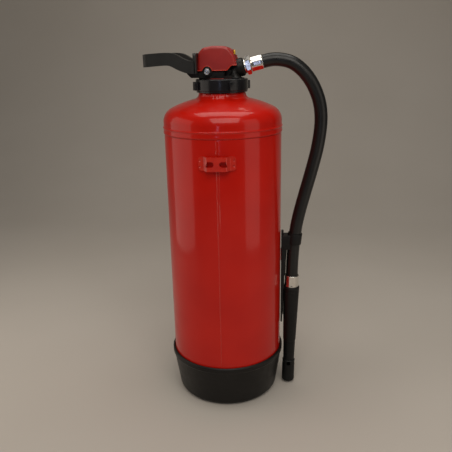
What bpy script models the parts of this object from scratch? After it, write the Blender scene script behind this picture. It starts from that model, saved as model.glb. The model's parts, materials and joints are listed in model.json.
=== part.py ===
"""Six-litre cartridge fire extinguisher: welded tank, foot, strike-cap valve, hose and foam nozzle.

Metres, +Z up. The origin is on the tank's axis, on the floor. The hanger bracket is at -Y, the carry
handle at -X and the outlet, hose and nozzle at +X.
"""

import math

import bmesh
import bpy
from mathutils import Matrix, Vector

MM = 0.001
GAP = 0.3 * MM  # kept between pieces that touch

# Tank
TANK_RADIUS = 80 * MM
TANK_WALL = 1.5 * MM
TANK_BOTTOM_Z = 60 * MM  # where the cylinder is welded to the bottom dome
SKIRT_Z = 388 * MM  # where the top dome's skirt is welded to the cylinder
SKIRT_BAND_HEIGHT = 8 * MM
SKIRT_BAND_PROUD = 1 * MM
SKIRT_PROUD = 0.5 * MM
SHOULDER_HEIGHT = 15 * MM  # straight part of the skirt
KNUCKLE_RADIUS = 20 * MM
CROWN_RADIUS = 161 * MM
BOTTOM_DOME_DEPTH = 48 * MM
SEAM_WIDTH = 4 * MM
SEAM_PROUD = 0.6 * MM
SEAM_ANGLE = 0.5  # degrees from -Y towards +X

# Neck and union nut
NECK_RADIUS = 30.8 * MM
NECK_THREAD_RADIUS = NECK_RADIUS - 1.2 * MM
NECK_BORE = NECK_THREAD_RADIUS - 5.1 * MM
KNUCKLE_X = TANK_RADIUS + SKIRT_PROUD - KNUCKLE_RADIUS
KNUCKLE_Z = SKIRT_Z + SHOULDER_HEIGHT
CROWN_Z = KNUCKLE_Z - math.sqrt((CROWN_RADIUS - KNUCKLE_RADIUS) ** 2 - KNUCKLE_X**2)
NECK_SUNK = 4.666 * MM  # how far the ring reaches below the dome's edge
NECK_BOTTOM_Z = CROWN_Z + math.sqrt(CROWN_RADIUS**2 - NECK_RADIUS**2) - NECK_SUNK
NECK_TOP_Z = NECK_BOTTOM_Z + 23 * MM  # every height in the head is taken from here
NECK_THREAD_Z = NECK_TOP_Z - 11.6 * MM
NUT_RADIUS = NECK_THREAD_RADIUS + 5.4 * MM
NUT_BOTTOM_Z = NECK_TOP_Z - 11 * MM
NUT_HEIGHT = 17 * MM
NUT_LIP = 2.5 * MM
NUT_LUGS = 4
NUT_LUG_SIZE = (4.6 * MM, 9.2 * MM, 10 * MM)  # proud, wide, tall
NUT_LUG_ANGLE = 27.7  # degrees of the first lug from -Y towards +X

# Foot
FOOT_RADIUS = TANK_RADIUS + 3.6 * MM
FOOT_HEIGHT = TANK_BOTTOM_Z + 7 * MM
FOOT_LIP_RADIUS = 4 * MM
FOOT_BOTTOM_RADIUS = TANK_RADIUS - 6 * MM
FOOT_CORNER_RADIUS = 6 * MM
FOOT_WALL = 2.6 * MM
FOOT_FLOOR = 3 * MM
DRAIN_WIDTH = 19 * MM
DRAIN_DEPTH = 1.5 * MM
DRAIN_ANGLES = (-22, 23, 158, 203)  # degrees from -Y towards +X

# Hanger bracket
BRACKET_Z = SKIRT_Z - 29.6 * MM
BRACKET_HEIGHT = 17.8 * MM
BRACKET_THICKNESS = 2 * MM
BRACKET_STANDOFF = 8 * MM  # tank to the plate's outer face
BRACKET_PLATE_HALF = 11.8 * MM
BRACKET_TAB_ANGLES = (11.6, 16.7)  # degrees, where each welded tab begins and ends
BRACKET_HOLE_HEIGHT = 7.2 * MM
BRACKET_HOLE_SPAN = (3.6 * MM, 14 * MM)  # from the middle to each end of a hole

# Valve body
BODY_Z = NECK_TOP_Z + 8 * MM
CAP_HALF_WIDTH = 23.5 * MM
CAP_WALL = 2.3 * MM
BODY_HALF_WIDTH = CAP_HALF_WIDTH - CAP_WALL - 0.7 * MM
BODY_FRONT_X = 6 * MM
BODY_STEP_Z = NECK_TOP_Z + 15.4 * MM
BODY_TOP_Z = NECK_TOP_Z + 28 * MM
STEM_RADIUS = NECK_BORE - GAP
BODY_BACK_X = -STEM_RADIUS - 4.4 * MM
BODY_UPPER_BACK_X = BODY_BACK_X + 6.6 * MM
FLANGE_RADIUS = NECK_THREAD_RADIUS - 1 * MM
O_RING_Z = NECK_TOP_Z - 5 * MM
O_RING_WIRE = 1.15 * MM
WASHER_RADIUS = STEM_RADIUS + 3.3 * MM
SOCKET_BOTTOM_Z = NECK_TOP_Z - 28 * MM
SOCKET_WALL = 2 * MM

# Strike cap, pivot and plunger
PIVOT_X = -16.6 * MM
PIVOT_Z = NECK_TOP_Z + 15.7 * MM
PIVOT_BOSS_RADIUS = 6.2 * MM
PIVOT_SHANK = 2.2 * MM
PIVOT_HEAD = 4.7 * MM
CAP_LUG_Y = (CAP_HALF_WIDTH - 8.9 * MM, CAP_HALF_WIDTH - 6.1 * MM)
CAP_LUG_RADIUS = 5.2 * MM
PRESS_ANGLE = 7  # degrees of the cap's travel
PLUNGER_RADIUS = 3.6 * MM
PLUNGER_HEAD_RADIUS = PLUNGER_RADIUS + 3 * MM
PLUNGER_HEAD_Z = NECK_TOP_Z + 31.6 * MM
PLUNGER_TOP_Z = NECK_TOP_Z + 35 * MM
PLUNGER_TIP_Z = NECK_TOP_Z - 21 * MM
PUSHER_RADIUS = 3 * MM
SPRING_RADIUS = PLUNGER_RADIUS + 1.7 * MM
SPRING_WIRE = 0.6 * MM
SPRING_BOTTOM_Z = NECK_TOP_Z + 18.5 * MM
SPRING_TURNS = 4
PIN_RADIUS = 1.5 * MM
PIN_Z = NECK_TOP_Z + 39.2 * MM
PIN_TILT = 35  # degrees above +X
PIN_LENGTH = 9 * MM
PIN_TAB = (1.2 * MM, 13 * MM, 5.8 * MM)
BLOCK_X = (6 * MM, 17 * MM)
BLOCK_Z = (NECK_TOP_Z + 36.6 * MM, NECK_TOP_Z + 42.8 * MM)
BLOCK_HALF_WIDTH = 8 * MM

# Carry handle
HANDLE_HALF_WIDTH = 39.5 * MM
HANDLE_BAR = 12 * MM
HANDLE_END_X = BODY_BACK_X - 69 * MM
HANDLE_CORNERS = (7 * MM, 4 * MM)  # outer and inner radius in plan
PLATE_X = (BODY_BACK_X - 5.8 * MM, BODY_BACK_X - 1.4 * MM)
PLATE_WING = 2.9 * MM  # how far the plate's wings stand forward, beside the cap
PLATE_WING_Y = CAP_HALF_WIDTH + 2 * MM
PLATE_Z = (NECK_TOP_Z + 14 * MM, NECK_TOP_Z + 39 * MM)
ROOT_HALF_WIDTH = BODY_HALF_WIDTH - 0.5 * MM
HANDLE_SCREW_Y = 11 * MM
HANDLE_SCREW_Z = NECK_TOP_Z + 11.9 * MM
HANDLE_SCREW_SHANK = 2 * MM
HANDLE_SCREW_HEAD = 3 * MM
HANDLE_SCREW_REACH = 9 * MM  # into the valve body

# Gas cartridge and dip tube
CARTRIDGE_RADIUS = 12 * MM
CARTRIDGE_LENGTH = 150 * MM
CARTRIDGE_NECK = 9 * MM
CARTRIDGE_BORE = 2.6 * MM
DIP_RADIUS = 4.5 * MM
DIP_X = CARTRIDGE_RADIUS + DIP_RADIUS + 0.5 * MM
DIP_WALL = 1 * MM
DIP_TOP_Z = NECK_TOP_Z - 7.5 * MM
DIP_BOTTOM_Z = 40 * MM
STRAINER_RADIUS = 8 * MM
STRAINER_HEIGHT = 20 * MM

# Outlet, measured along its axis from the boss's end face
OUTLET_FACE = Vector((30.5 * MM, 0, NECK_TOP_Z + 21.2 * MM))
OUTLET_TILT = 13  # degrees above +X
BOSS_RADIUS = 11.8 * MM
BOSS_LENGTH = 26 * MM
ADAPTOR_RADIUS = 7 * MM
ADAPTOR_RING = (9.6 * MM, 1.6 * MM)  # radius, thickness
OUTLET_BORE = 3.6 * MM
HEX_RADIUS = 12.1 * MM
HEX_LENGTH = 6.3 * MM
HEX_START = 2.3 * MM
HOSE_RADIUS = 8.75 * MM
UPPER_FERRULE = (HOSE_RADIUS + 1.25 * MM, 9.1 * MM, 25 * MM)  # radius, start, end
TAIL_RADIUS = 4.8 * MM
TAIL_BORE = 3 * MM

# Hose, its lower end and the nozzle, which leans towards the foot
NOZZLE_TOP = Vector((TANK_RADIUS + HOSE_RADIUS + 8.25 * MM, 0, 178.3 * MM))
NOZZLE_LEAN = 1.2  # degrees from straight down, towards the tank
LOWER_FERRULE = (HOSE_RADIUS + 1.75 * MM, 20 * MM)  # radius, length
NOZZLE_BODY_LENGTH = 119 * MM
NOZZLE_TIP_LENGTH = 35 * MM
NOZZLE_WALL = 2.2 * MM
NOZZLE_RADII = (LOWER_FERRULE[0] + 1.2 * MM, 9.4 * MM, 8.3 * MM)  # top, waist, end
NOZZLE_WAIST = 33 * MM  # from the end
NOZZLE_TIP_RADIUS = 9.5 * MM
AIR_HOLE = (5 * MM, 6.3 * MM)  # wide, tall

HOSE_ROUTE = (  # share of the way up from the nozzle, mm out from the straight line
    (1.008, 17.2), (0.997, 34.7), (0.9691, 47.1), (0.9292, 56.5), (0.8793, 63.3), (0.8234, 67.2),
    (0.7642, 67.4), (0.6976, 64.1), (0.6095, 56.6), (0.508, 45.3), (0.4135, 33.9), (0.3264, 23.7),
    (0.2452, 15.4), (0.1587, 8.8), (0.0788, 3.9),
)

# Nozzle holder and the lug it hooks on
LUG_Z = (202 * MM, 218 * MM)
LUG_HALF_WIDTH = 5 * MM
LUG_DEPTH = 2.2 * MM
SPINE_X = (TANK_RADIUS + 1 * MM, TANK_RADIUS + 4.4 * MM)
SPINE_Z = (104 * MM, 245 * MM)
SPINE_HALF_WIDTH = 7 * MM
CLIP_Z = (225 * MM, 241 * MM)
CLIP_WALL = 1 * MM

ROUND = 36  # sides of the tank and other large turned pieces
SMALL_ROUND = 20

RED = ("red_enamel", (0.42, 0.008, 0.006), 0.25, 0.0)
RED_PLASTIC = ("red_plastic", (0.33, 0.012, 0.008), 0.45, 0.0)
BLACK_PLASTIC = ("black_plastic", (0.012, 0.012, 0.012), 0.45, 0.0)
BLACK_RUBBER = ("black_rubber", (0.015, 0.015, 0.014), 0.6, 0.0)
NICKEL = ("nickel_plate", (0.62, 0.60, 0.57), 0.25, 1.0)
STEEL = ("plain_steel", (0.45, 0.45, 0.46), 0.35, 1.0)
YELLOW = ("yellow_plastic", (0.75, 0.50, 0.02), 0.45, 0.0)


def start_scene():
    for obj in list(bpy.data.objects):
        bpy.data.objects.remove(obj)
    for name in ("fire_extinguisher", "cutters"):
        bpy.context.scene.collection.children.link(bpy.data.collections.new(name))


def material(name, colour, roughness, metallic):
    found = bpy.data.materials.get(name)
    if found:
        return found
    made = bpy.data.materials.new(name)
    made.use_nodes = True
    shader = made.node_tree.nodes["Principled BSDF"]
    shader.inputs["Base Color"].default_value = (*colour, 1)
    shader.inputs["Roughness"].default_value = roughness
    shader.inputs["Metallic"].default_value = metallic
    return made


def add_object(name, data, finish=None, matrix=None):
    """Links an object to the part's collection or, with no finish, to the cutters."""
    obj = bpy.data.objects.new(name, data)
    if matrix is not None:
        obj.matrix_world = matrix
    if finish is None:
        bpy.data.collections["cutters"].objects.link(obj)
        obj.hide_render = True
        obj.display_type = "WIRE"
    else:
        bpy.data.collections["fire_extinguisher"].objects.link(obj)
        data.materials.append(material(*finish))
    return obj


def mesh_from(name, bm):
    bmesh.ops.recalc_face_normals(bm, faces=bm.faces)
    mesh = bpy.data.meshes.new(name)
    bm.to_mesh(mesh)
    bm.free()
    return mesh


def turned(name, profile, finish=None, matrix=None, sides=ROUND):
    """A solid turned about its own Z from (radius, height) points, outer side first, top to bottom."""
    mesh = bpy.data.meshes.new(name)
    closed = min(profile[0][0], profile[-1][0]) > 0
    edges = [(i, i + 1) for i in range(len(profile) - 1)]
    if closed:
        edges.append((len(profile) - 1, 0))
    mesh.from_pydata([(radius, 0, height) for radius, height in profile], edges, [])
    obj = add_object(name, mesh, finish, matrix)
    screw = obj.modifiers.new("turn", "SCREW")
    screw.steps = screw.render_steps = sides
    screw.use_merge_vertices = True
    screw.merge_threshold = 0.00001
    return obj


def box(name, low, high, finish=None, matrix=None):
    bm = bmesh.new()
    bmesh.ops.create_cube(bm, size=1)
    low, high = Vector(low), Vector(high)
    bmesh.ops.scale(bm, vec=high - low, verts=bm.verts)
    bmesh.ops.translate(bm, vec=(low + high) / 2, verts=bm.verts)
    return add_object(name, mesh_from(name, bm), finish, matrix)


def rod(name, radius, low, high, finish=None, matrix=None, sides=SMALL_ROUND, turn=0):
    """A cylinder or prism about its own Z, from low to high."""
    bm = bmesh.new()
    bmesh.ops.create_cone(
        bm, cap_ends=True, segments=sides, radius1=radius, radius2=radius, depth=high - low
    )
    bmesh.ops.rotate(bm, matrix=Matrix.Rotation(math.radians(turn), 3, "Z"), verts=bm.verts)
    bmesh.ops.translate(bm, vec=(0, 0, (low + high) / 2), verts=bm.verts)
    return add_object(name, mesh_from(name, bm), finish, matrix)


def plate(name, outline, half_thickness, finish=None, matrix=None):
    """A flat outline in its own XY plane, extruded both ways along Z, as a mesh."""
    curve = bpy.data.curves.new(name, "CURVE")
    curve.dimensions = "2D"
    curve.fill_mode = "BOTH"
    curve.extrude = half_thickness
    spline = curve.splines.new("POLY")
    spline.points.add(len(outline) - 1)
    for point, (x, y) in zip(spline.points, outline):
        point.co = (x, y, 0, 1)
    spline.use_cyclic_u = True
    guide = bpy.data.objects.new("guide", curve)
    bpy.context.scene.collection.objects.link(guide)
    shape = guide.evaluated_get(bpy.context.evaluated_depsgraph_get())
    bm = bmesh.new()
    bm.from_mesh(bpy.data.meshes.new_from_object(shape))
    bpy.data.objects.remove(guide)
    bmesh.ops.remove_doubles(bm, verts=bm.verts, dist=0.000001)
    return add_object(name, mesh_from(name, bm), finish, matrix)


def combine(obj, operation, *others):
    for other in others:
        step = obj.modifiers.new(f"{operation.lower()} {other.name}", "BOOLEAN")
        step.operation = operation
        step.solver = "EXACT"
        step.object = other
    return obj


def soften(obj, width, segments=2, angle=35):
    bevel = obj.modifiers.new("soften", "BEVEL")
    bevel.width = width
    bevel.segments = segments
    bevel.limit_method = "ANGLE"
    bevel.angle_limit = math.radians(angle)
    return obj


def round_off(obj, angle=35):
    obj.data.shade_smooth()
    obj.data.set_sharp_from_angle(angle=math.radians(angle))
    return obj


def arc(centre, radius, first, last, count):
    """Points of an arc from angle first to last, in degrees, both ends included."""
    return [
        (
            centre[0] + radius * math.cos(math.radians(first + (last - first) * i / count)),
            centre[1] + radius * math.sin(math.radians(first + (last - first) * i / count)),
        )
        for i in range(count + 1)
    ]


def around(angle):
    """Turns a piece made at -Y about the tank's axis, by degrees towards +X."""
    return Matrix.Rotation(math.radians(angle), 4, "Z")


# Frames for pieces that don't stand upright. Their own Z is the axis that they are turned on.
ALONG_X = Matrix.Rotation(math.pi / 2, 4, "Y")
ALONG_Y = Matrix.Rotation(-math.pi / 2, 4, "X")
SIDE_VIEW = Matrix.Rotation(math.pi / 2, 4, "X")  # own XY is the world's XZ
OUTLET = Matrix.Translation(OUTLET_FACE) @ Matrix.Rotation(
    math.radians(90 - OUTLET_TILT), 4, "Y"
)
NOZZLE = Matrix.Translation(NOZZLE_TOP) @ Matrix.Rotation(
    math.radians(180 + NOZZLE_LEAN), 4, "Y"
)
PIVOT = Matrix.Translation((PIVOT_X, 0, PIVOT_Z))
PIN = Matrix.Translation((BLOCK_X[1], 0, PIN_Z)) @ Matrix.Rotation(
    math.radians(90 - PIN_TILT), 4, "Y"
)


def crown_and_knuckle(offset):
    """The top dome's section, offset inwards, from the neck's edge down to the straight skirt."""
    turn = math.degrees(math.atan2(KNUCKLE_X, KNUCKLE_Z - CROWN_Z))
    edge = math.degrees(math.asin((NECK_RADIUS + GAP) / (CROWN_RADIUS - offset)))
    crown = arc((0, CROWN_Z), CROWN_RADIUS - offset, 90 - edge, 90 - turn, 3)
    knuckle = arc((KNUCKLE_X, KNUCKLE_Z), KNUCKLE_RADIUS - offset, 90 - turn, 0, 4)
    return crown + knuckle[1:]


def make_tank():
    cylinder_top = SKIRT_Z - GAP
    cylinder = turned(
        "tank_cylinder",
        [
            (TANK_RADIUS, cylinder_top),
            (TANK_RADIUS, TANK_BOTTOM_Z),
            (TANK_RADIUS - TANK_WALL, TANK_BOTTOM_Z),
            (TANK_RADIUS - TANK_WALL, cylinder_top),
        ],
        RED,
    )
    seam = box(
        "seam_bead",
        (-SEAM_WIDTH / 2, -TANK_RADIUS - SEAM_PROUD, FOOT_HEIGHT + GAP),
        (SEAM_WIDTH / 2, -TANK_RADIUS + TANK_WALL / 2, cylinder_top - GAP),
        matrix=around(SEAM_ANGLE),
    )
    combine(cylinder, "UNION", seam)

    side = TANK_RADIUS + SKIRT_PROUD
    band = TANK_RADIUS + SKIRT_BAND_PROUD
    band_top = SKIRT_Z + SKIRT_BAND_HEIGHT
    bevel = SKIRT_BAND_PROUD / 2
    outside = crown_and_knuckle(0) + [
        (side, band_top),
        (band, band_top - bevel),
        (band, SKIRT_Z + bevel),
        (band - bevel, SKIRT_Z),
    ]
    inside = crown_and_knuckle(TANK_WALL) + [(side - TANK_WALL, SKIRT_Z)]
    turned("top_dome", outside + inside[::-1], RED)

    def half_ellipse(wall):
        radius, depth = TANK_RADIUS - wall, BOTTOM_DOME_DEPTH - wall
        top = TANK_BOTTOM_Z - GAP
        return [(radius * math.cos(a), top - depth * math.sin(a)) for a in
                (math.pi / 2 * i / 5 for i in range(6))]

    outer, inner = half_ellipse(0), half_ellipse(TANK_WALL)
    outer[-1] = (0, outer[-1][1])
    inner[-1] = (0, inner[-1][1])
    turned("bottom_dome", outer + inner[::-1], RED)

    turned(
        "neck_ring",
        [
            (NECK_THREAD_RADIUS, NECK_TOP_Z),
            (NECK_THREAD_RADIUS, NECK_THREAD_Z),
            (NECK_RADIUS, NECK_THREAD_Z),
            (NECK_RADIUS, NECK_BOTTOM_Z),
            (NECK_BORE, NECK_BOTTOM_Z),
            (NECK_BORE, NECK_TOP_Z),
        ],
        RED,
    )


def make_hanger_bracket():
    """A pressed strip: two tabs on the tank, and a plate held off it that a wall hook goes behind."""
    centre = TANK_RADIUS + GAP + BRACKET_THICKNESS / 2
    plate_y = -TANK_RADIUS - BRACKET_STANDOFF + BRACKET_THICKNESS / 2
    near, far = BRACKET_TAB_ANGLES
    tab = [(x, -y) for x, y in arc((0, 0), centre, 90 - near, 90 - far, 2)]
    half = [(0, plate_y), (BRACKET_PLATE_HALF, plate_y), *tab]
    path = [(-x, y) for x, y in half[:0:-1]] + half
    bm = bmesh.new()
    low = BRACKET_Z - BRACKET_HEIGHT / 2
    points = [bm.verts.new((x, y, low)) for x, y in path]
    edges = [bm.edges.new(pair) for pair in zip(points, points[1:])]
    swept = bmesh.ops.extrude_edge_only(bm, edges=edges)["geom"]
    bmesh.ops.translate(
        bm, vec=(0, 0, BRACKET_HEIGHT), verts=[v for v in swept if isinstance(v, bmesh.types.BMVert)]
    )
    bracket = add_object("hanger_bracket", mesh_from("hanger_bracket", bm), RED)
    wall = bracket.modifiers.new("wall", "SOLIDIFY")
    wall.thickness = BRACKET_THICKNESS
    wall.offset = 0
    wall.use_even_offset = True
    inner, outer = BRACKET_HOLE_SPAN
    radius = BRACKET_HOLE_HEIGHT / 2
    for side in (-1, 1):
        half_round = arc((inner + radius, BRACKET_Z), radius, 90, 270, 8)
        outline = [(side * x, z) for x, z in [*half_round, (outer, BRACKET_Z - radius),
                                               (outer, BRACKET_Z + radius)]]
        hole = plate(
            "hook_hole",
            outline,
            BRACKET_STANDOFF,
            matrix=Matrix.Translation((0, -TANK_RADIUS - BRACKET_STANDOFF, 0)) @ SIDE_VIEW,
        )
        combine(bracket, "DIFFERENCE", hole)


def make_foot():
    lip = FOOT_LIP_RADIUS
    slope = math.degrees(
        math.atan2(FOOT_RADIUS - FOOT_BOTTOM_RADIUS, FOOT_HEIGHT - lip)
    )
    inner_lip = TANK_RADIUS + GAP
    corner = FOOT_CORNER_RADIUS
    outside = arc((FOOT_RADIUS - lip, FOOT_HEIGHT - lip), lip, 80, -slope, 5)
    outside = [(inner_lip, FOOT_HEIGHT), *[p for p in outside if p[0] > inner_lip + GAP]]
    outside += arc((FOOT_BOTTOM_RADIUS - corner, corner), corner, -slope, -90, 5)
    lean = math.tan(math.radians(slope))
    seat_z = TANK_BOTTOM_Z - 2 * GAP
    inner_top = FOOT_RADIUS - FOOT_WALL - (FOOT_HEIGHT - lip - seat_z) * lean
    inside = [
        (0, FOOT_FLOOR),
        (FOOT_BOTTOM_RADIUS - FOOT_WALL - corner, FOOT_FLOOR),
        (FOOT_BOTTOM_RADIUS - FOOT_WALL + FOOT_FLOOR * lean, FOOT_FLOOR + corner),
        (min(inner_top, inner_lip), seat_z),
        (inner_lip, seat_z + FOOT_WALL),
    ]
    foot = turned("foot_cup", [*outside, (0, 0), *inside], BLACK_PLASTIC)
    for number, angle in enumerate(DRAIN_ANGLES):
        drain = box(
            f"drain_cutter_{number}",
            (-DRAIN_WIDTH / 2, -FOOT_RADIUS, -DRAIN_DEPTH),
            (DRAIN_WIDTH / 2, -FOOT_BOTTOM_RADIUS + 2 * corner, DRAIN_DEPTH),
            matrix=around(angle),
        )
        combine(foot, "DIFFERENCE", drain)


def make_union_nut():
    top = NUT_BOTTOM_Z + NUT_HEIGHT
    bore = NECK_THREAD_RADIUS + GAP
    chamfer = 1.2 * MM
    nut = turned(
        "union_nut",
        [
            (NUT_RADIUS - chamfer, top),
            (NUT_RADIUS, top - chamfer),
            (NUT_RADIUS, NUT_BOTTOM_Z + chamfer / 2),
            (NUT_RADIUS - chamfer / 2, NUT_BOTTOM_Z),
            (bore, NUT_BOTTOM_Z),
            (bore, top - NUT_LIP),
            (STEM_RADIUS + GAP, top - NUT_LIP),
            (STEM_RADIUS + GAP, top),
        ],
        BLACK_PLASTIC,
    )
    proud, wide, tall = NUT_LUG_SIZE
    middle = NUT_BOTTOM_Z + NUT_HEIGHT / 2
    for number in range(NUT_LUGS):
        lug = box(
            f"nut_lug_{number}",
            (-wide / 2, -NUT_RADIUS - proud, middle - tall / 2),
            (wide / 2, -NUT_RADIUS + proud, middle + tall / 2),
            matrix=around(NUT_LUG_ANGLE + 360 * number / NUT_LUGS),
        )
        combine(nut, "UNION", lug)


def make_seals():
    groove = NECK_BORE - GAP - O_RING_WIRE
    turned("neck_o_ring", arc((groove, O_RING_Z), O_RING_WIRE, 90, -210, 5), BLACK_RUBBER)
    low = NUT_BOTTOM_Z + NUT_HEIGHT + GAP
    turned(
        "washer_ring",
        [
            (WASHER_RADIUS, BODY_Z - GAP),
            (WASHER_RADIUS, low),
            (STEM_RADIUS + GAP, low),
            (STEM_RADIUS + GAP, BODY_Z - GAP),
        ],
        RED_PLASTIC,
    )
    gasket_z = SOCKET_BOTTOM_Z + 9 * MM
    turned(
        "cartridge_gasket",
        [
            (CARTRIDGE_NECK - GAP, gasket_z),
            (CARTRIDGE_NECK - GAP, gasket_z - 1.5 * MM),
            (PLUNGER_RADIUS + GAP, gasket_z - 1.5 * MM),
            (PLUNGER_RADIUS + GAP, gasket_z),
        ],
        BLACK_RUBBER,
        sides=SMALL_ROUND,
    )


def make_valve_body():
    """The moulded body: a stem in the tank's neck, a block under the cap and the tilted outlet boss."""
    flange_top = NUT_BOTTOM_Z + NUT_HEIGHT - NUT_LIP - GAP
    socket_outer = CARTRIDGE_NECK + GAP + SOCKET_WALL
    groove = NECK_BORE - 2 * O_RING_WIRE - 2 * GAP
    stem = turned(
        "valve_body",
        [
            (0, BODY_Z + 2 * MM),
            (STEM_RADIUS, BODY_Z + 2 * MM),
            (STEM_RADIUS, flange_top),
            (FLANGE_RADIUS, flange_top),
            (FLANGE_RADIUS, NECK_TOP_Z + GAP),
            (STEM_RADIUS - GAP / 2, NECK_TOP_Z + GAP),
            (STEM_RADIUS - GAP / 2, O_RING_Z + O_RING_WIRE + GAP),
            (groove, O_RING_Z + O_RING_WIRE + GAP),
            (groove, O_RING_Z - O_RING_WIRE - GAP),
            (STEM_RADIUS - GAP / 2, O_RING_Z - O_RING_WIRE - GAP),
            (STEM_RADIUS - GAP / 2, NECK_THREAD_Z),
            (socket_outer, NECK_THREAD_Z),
            (socket_outer, SOCKET_BOTTOM_Z),
            (0, SOCKET_BOTTOM_Z),
        ],
        BLACK_PLASTIC,
        sides=32,
    )
    width = BODY_HALF_WIDTH
    lower = soften(
        box(
            "body_lower_block",
            (BODY_BACK_X, -width, BODY_Z),
            (BODY_FRONT_X, width, BODY_STEP_Z),
        ),
        1 * MM,
    )
    upper = soften(
        box(
            "body_upper_block",
            (BODY_UPPER_BACK_X, -width + 1 * MM, BODY_Z + 1 * MM),
            (BODY_FRONT_X - 1 * MM, width - 1 * MM, BODY_TOP_Z),
        ),
        1 * MM,
    )
    boss = rod("outlet_boss", BOSS_RADIUS, -BOSS_LENGTH, 0, matrix=OUTLET, sides=28)
    front = BODY_FRONT_X - 3 * MM
    floor = BODY_Z + 0.2 * MM
    gusset = plate(
        "outlet_gusset",
        [
            (front, floor),
            (OUTLET_FACE.x - 3 * MM, floor),
            (OUTLET_FACE.x - 5 * MM, OUTLET_FACE.z - BOSS_RADIUS),
            (front, BODY_STEP_Z),
        ],
        width - 8 * MM,
        matrix=SIDE_VIEW,
    )
    reach = CAP_HALF_WIDTH - GAP
    pivot_bosses = rod("pivot_bosses", PIVOT_BOSS_RADIUS, -reach, reach, matrix=PIVOT @ ALONG_Y)
    combine(stem, "UNION", lower, upper, gusset, boss, pivot_bosses)

    well = rod("spring_well", PLUNGER_HEAD_RADIUS + GAP, SPRING_BOTTOM_Z - GAP, BODY_TOP_Z + 5 * MM)
    bore = rod("plunger_bore", PLUNGER_RADIUS + GAP, SOCKET_BOTTOM_Z - MM, BODY_TOP_Z)
    socket = rod("cartridge_socket", CARTRIDGE_NECK + GAP, SOCKET_BOTTOM_Z - MM, SOCKET_BOTTOM_Z + 9.3 * MM)
    dip_hole = rod(
        "dip_hole",
        DIP_RADIUS + GAP,
        NECK_THREAD_Z - 10 * MM,
        DIP_TOP_Z + GAP,
        matrix=Matrix.Translation((DIP_X, 0, 0)),
    )
    riser = rod(
        "riser_channel",
        DIP_RADIUS - DIP_WALL,
        DIP_TOP_Z - 2 * MM,
        OUTLET_FACE.z - 3 * MM,
        matrix=Matrix.Translation((DIP_X, 0, 0)),
    )
    thread = rod("outlet_thread", ADAPTOR_RADIUS + GAP, -10.3 * MM, 2 * MM, matrix=OUTLET)
    channel = rod("outlet_channel", OUTLET_BORE, -14 * MM, 0, matrix=OUTLET)
    pin_end = BLOCK_X[1] - (PIN_LENGTH + 2 * MM) * math.cos(math.radians(PIN_TILT))
    pin_room = box(
        "pin_room",
        (pin_end - 4 * MM, -PIN_RADIUS - 2 * GAP, BODY_TOP_Z - 1 * MM),
        (BLOCK_X[1], PIN_RADIUS + 2 * GAP, BLOCK_Z[0]),
    )
    combine(stem, "DIFFERENCE", well, bore, socket, dip_hole, riser, thread, channel, pin_room)
    lug_in, lug_out = CAP_LUG_Y
    reach = CAP_LUG_RADIUS + 2 * GAP
    for side in (-1, 1):
        low, high = sorted((side * (lug_in - GAP), side * (lug_out + GAP)))
        swing = (BODY_TOP_Z + MM - PIVOT_Z) * math.sin(math.radians(PRESS_ANGLE))
        slot = box(
            f"lug_slot_{side}",
            (PIVOT_X - reach, low, PIVOT_Z - reach),
            (PIVOT_X + reach + swing, high, BODY_TOP_Z + MM),
        )
        y = side * HANDLE_SCREW_Y
        screw_hole = rod(
            f"handle_screw_hole_{side}",
            HANDLE_SCREW_SHANK + GAP,
            BODY_BACK_X - MM,
            BODY_BACK_X + HANDLE_SCREW_REACH + GAP,
            matrix=Matrix.Translation((0, y, HANDLE_SCREW_Z)) @ ALONG_X,
            sides=12,
        )
        combine(stem, "DIFFERENCE", slot, screw_hole)
    reach = CAP_HALF_WIDTH + MM
    pivot_hole = rod("pivot_hole", PIVOT_SHANK + GAP, -reach, reach, matrix=PIVOT @ ALONG_Y, sides=16)
    combine(stem, "DIFFERENCE", pivot_hole)


def cap_outline():
    """The strike cap's side view. Its back is measured from the valve body's back."""
    back = [(-0.9, 16.8), (-0.5, 30.5), (0.6, 37), (2.4, 40.4), (5.4, 43.3), (9.6, 45.3), (14.6, 46.7)]
    front = [
        (-8, 47.2), (3, 47), (7, 46.2), (10.2, 44.5), (13.7, 41.4), (17, 37), (18.8, 34.2),
        (21.6, 23), (14.7, 23), (7.5, 16.8),
    ]
    points = [(BODY_BACK_X + x * MM, z) for x, z in back] + [(x * MM, z) for x, z in front]
    return [(x, NECK_TOP_Z + z * MM) for x, z in points]


def shrunk(outline, wall):
    """A clockwise outline moved inwards by wall, corner by corner."""
    points = [Vector(p) for p in outline]
    moved = []
    for before, here, after in zip([points[-1], *points], points, [*points[1:], points[0]]):
        first, second = (here - before).normalized(), (after - here).normalized()
        normal = Vector((first.y + second.y, -first.x - second.x)).normalized()
        lean = normal.dot(Vector((first.y, -first.x)))
        moved.append(here + normal * wall / max(lean, 0.5))
    return [(p.x, p.y) for p in moved]


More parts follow.
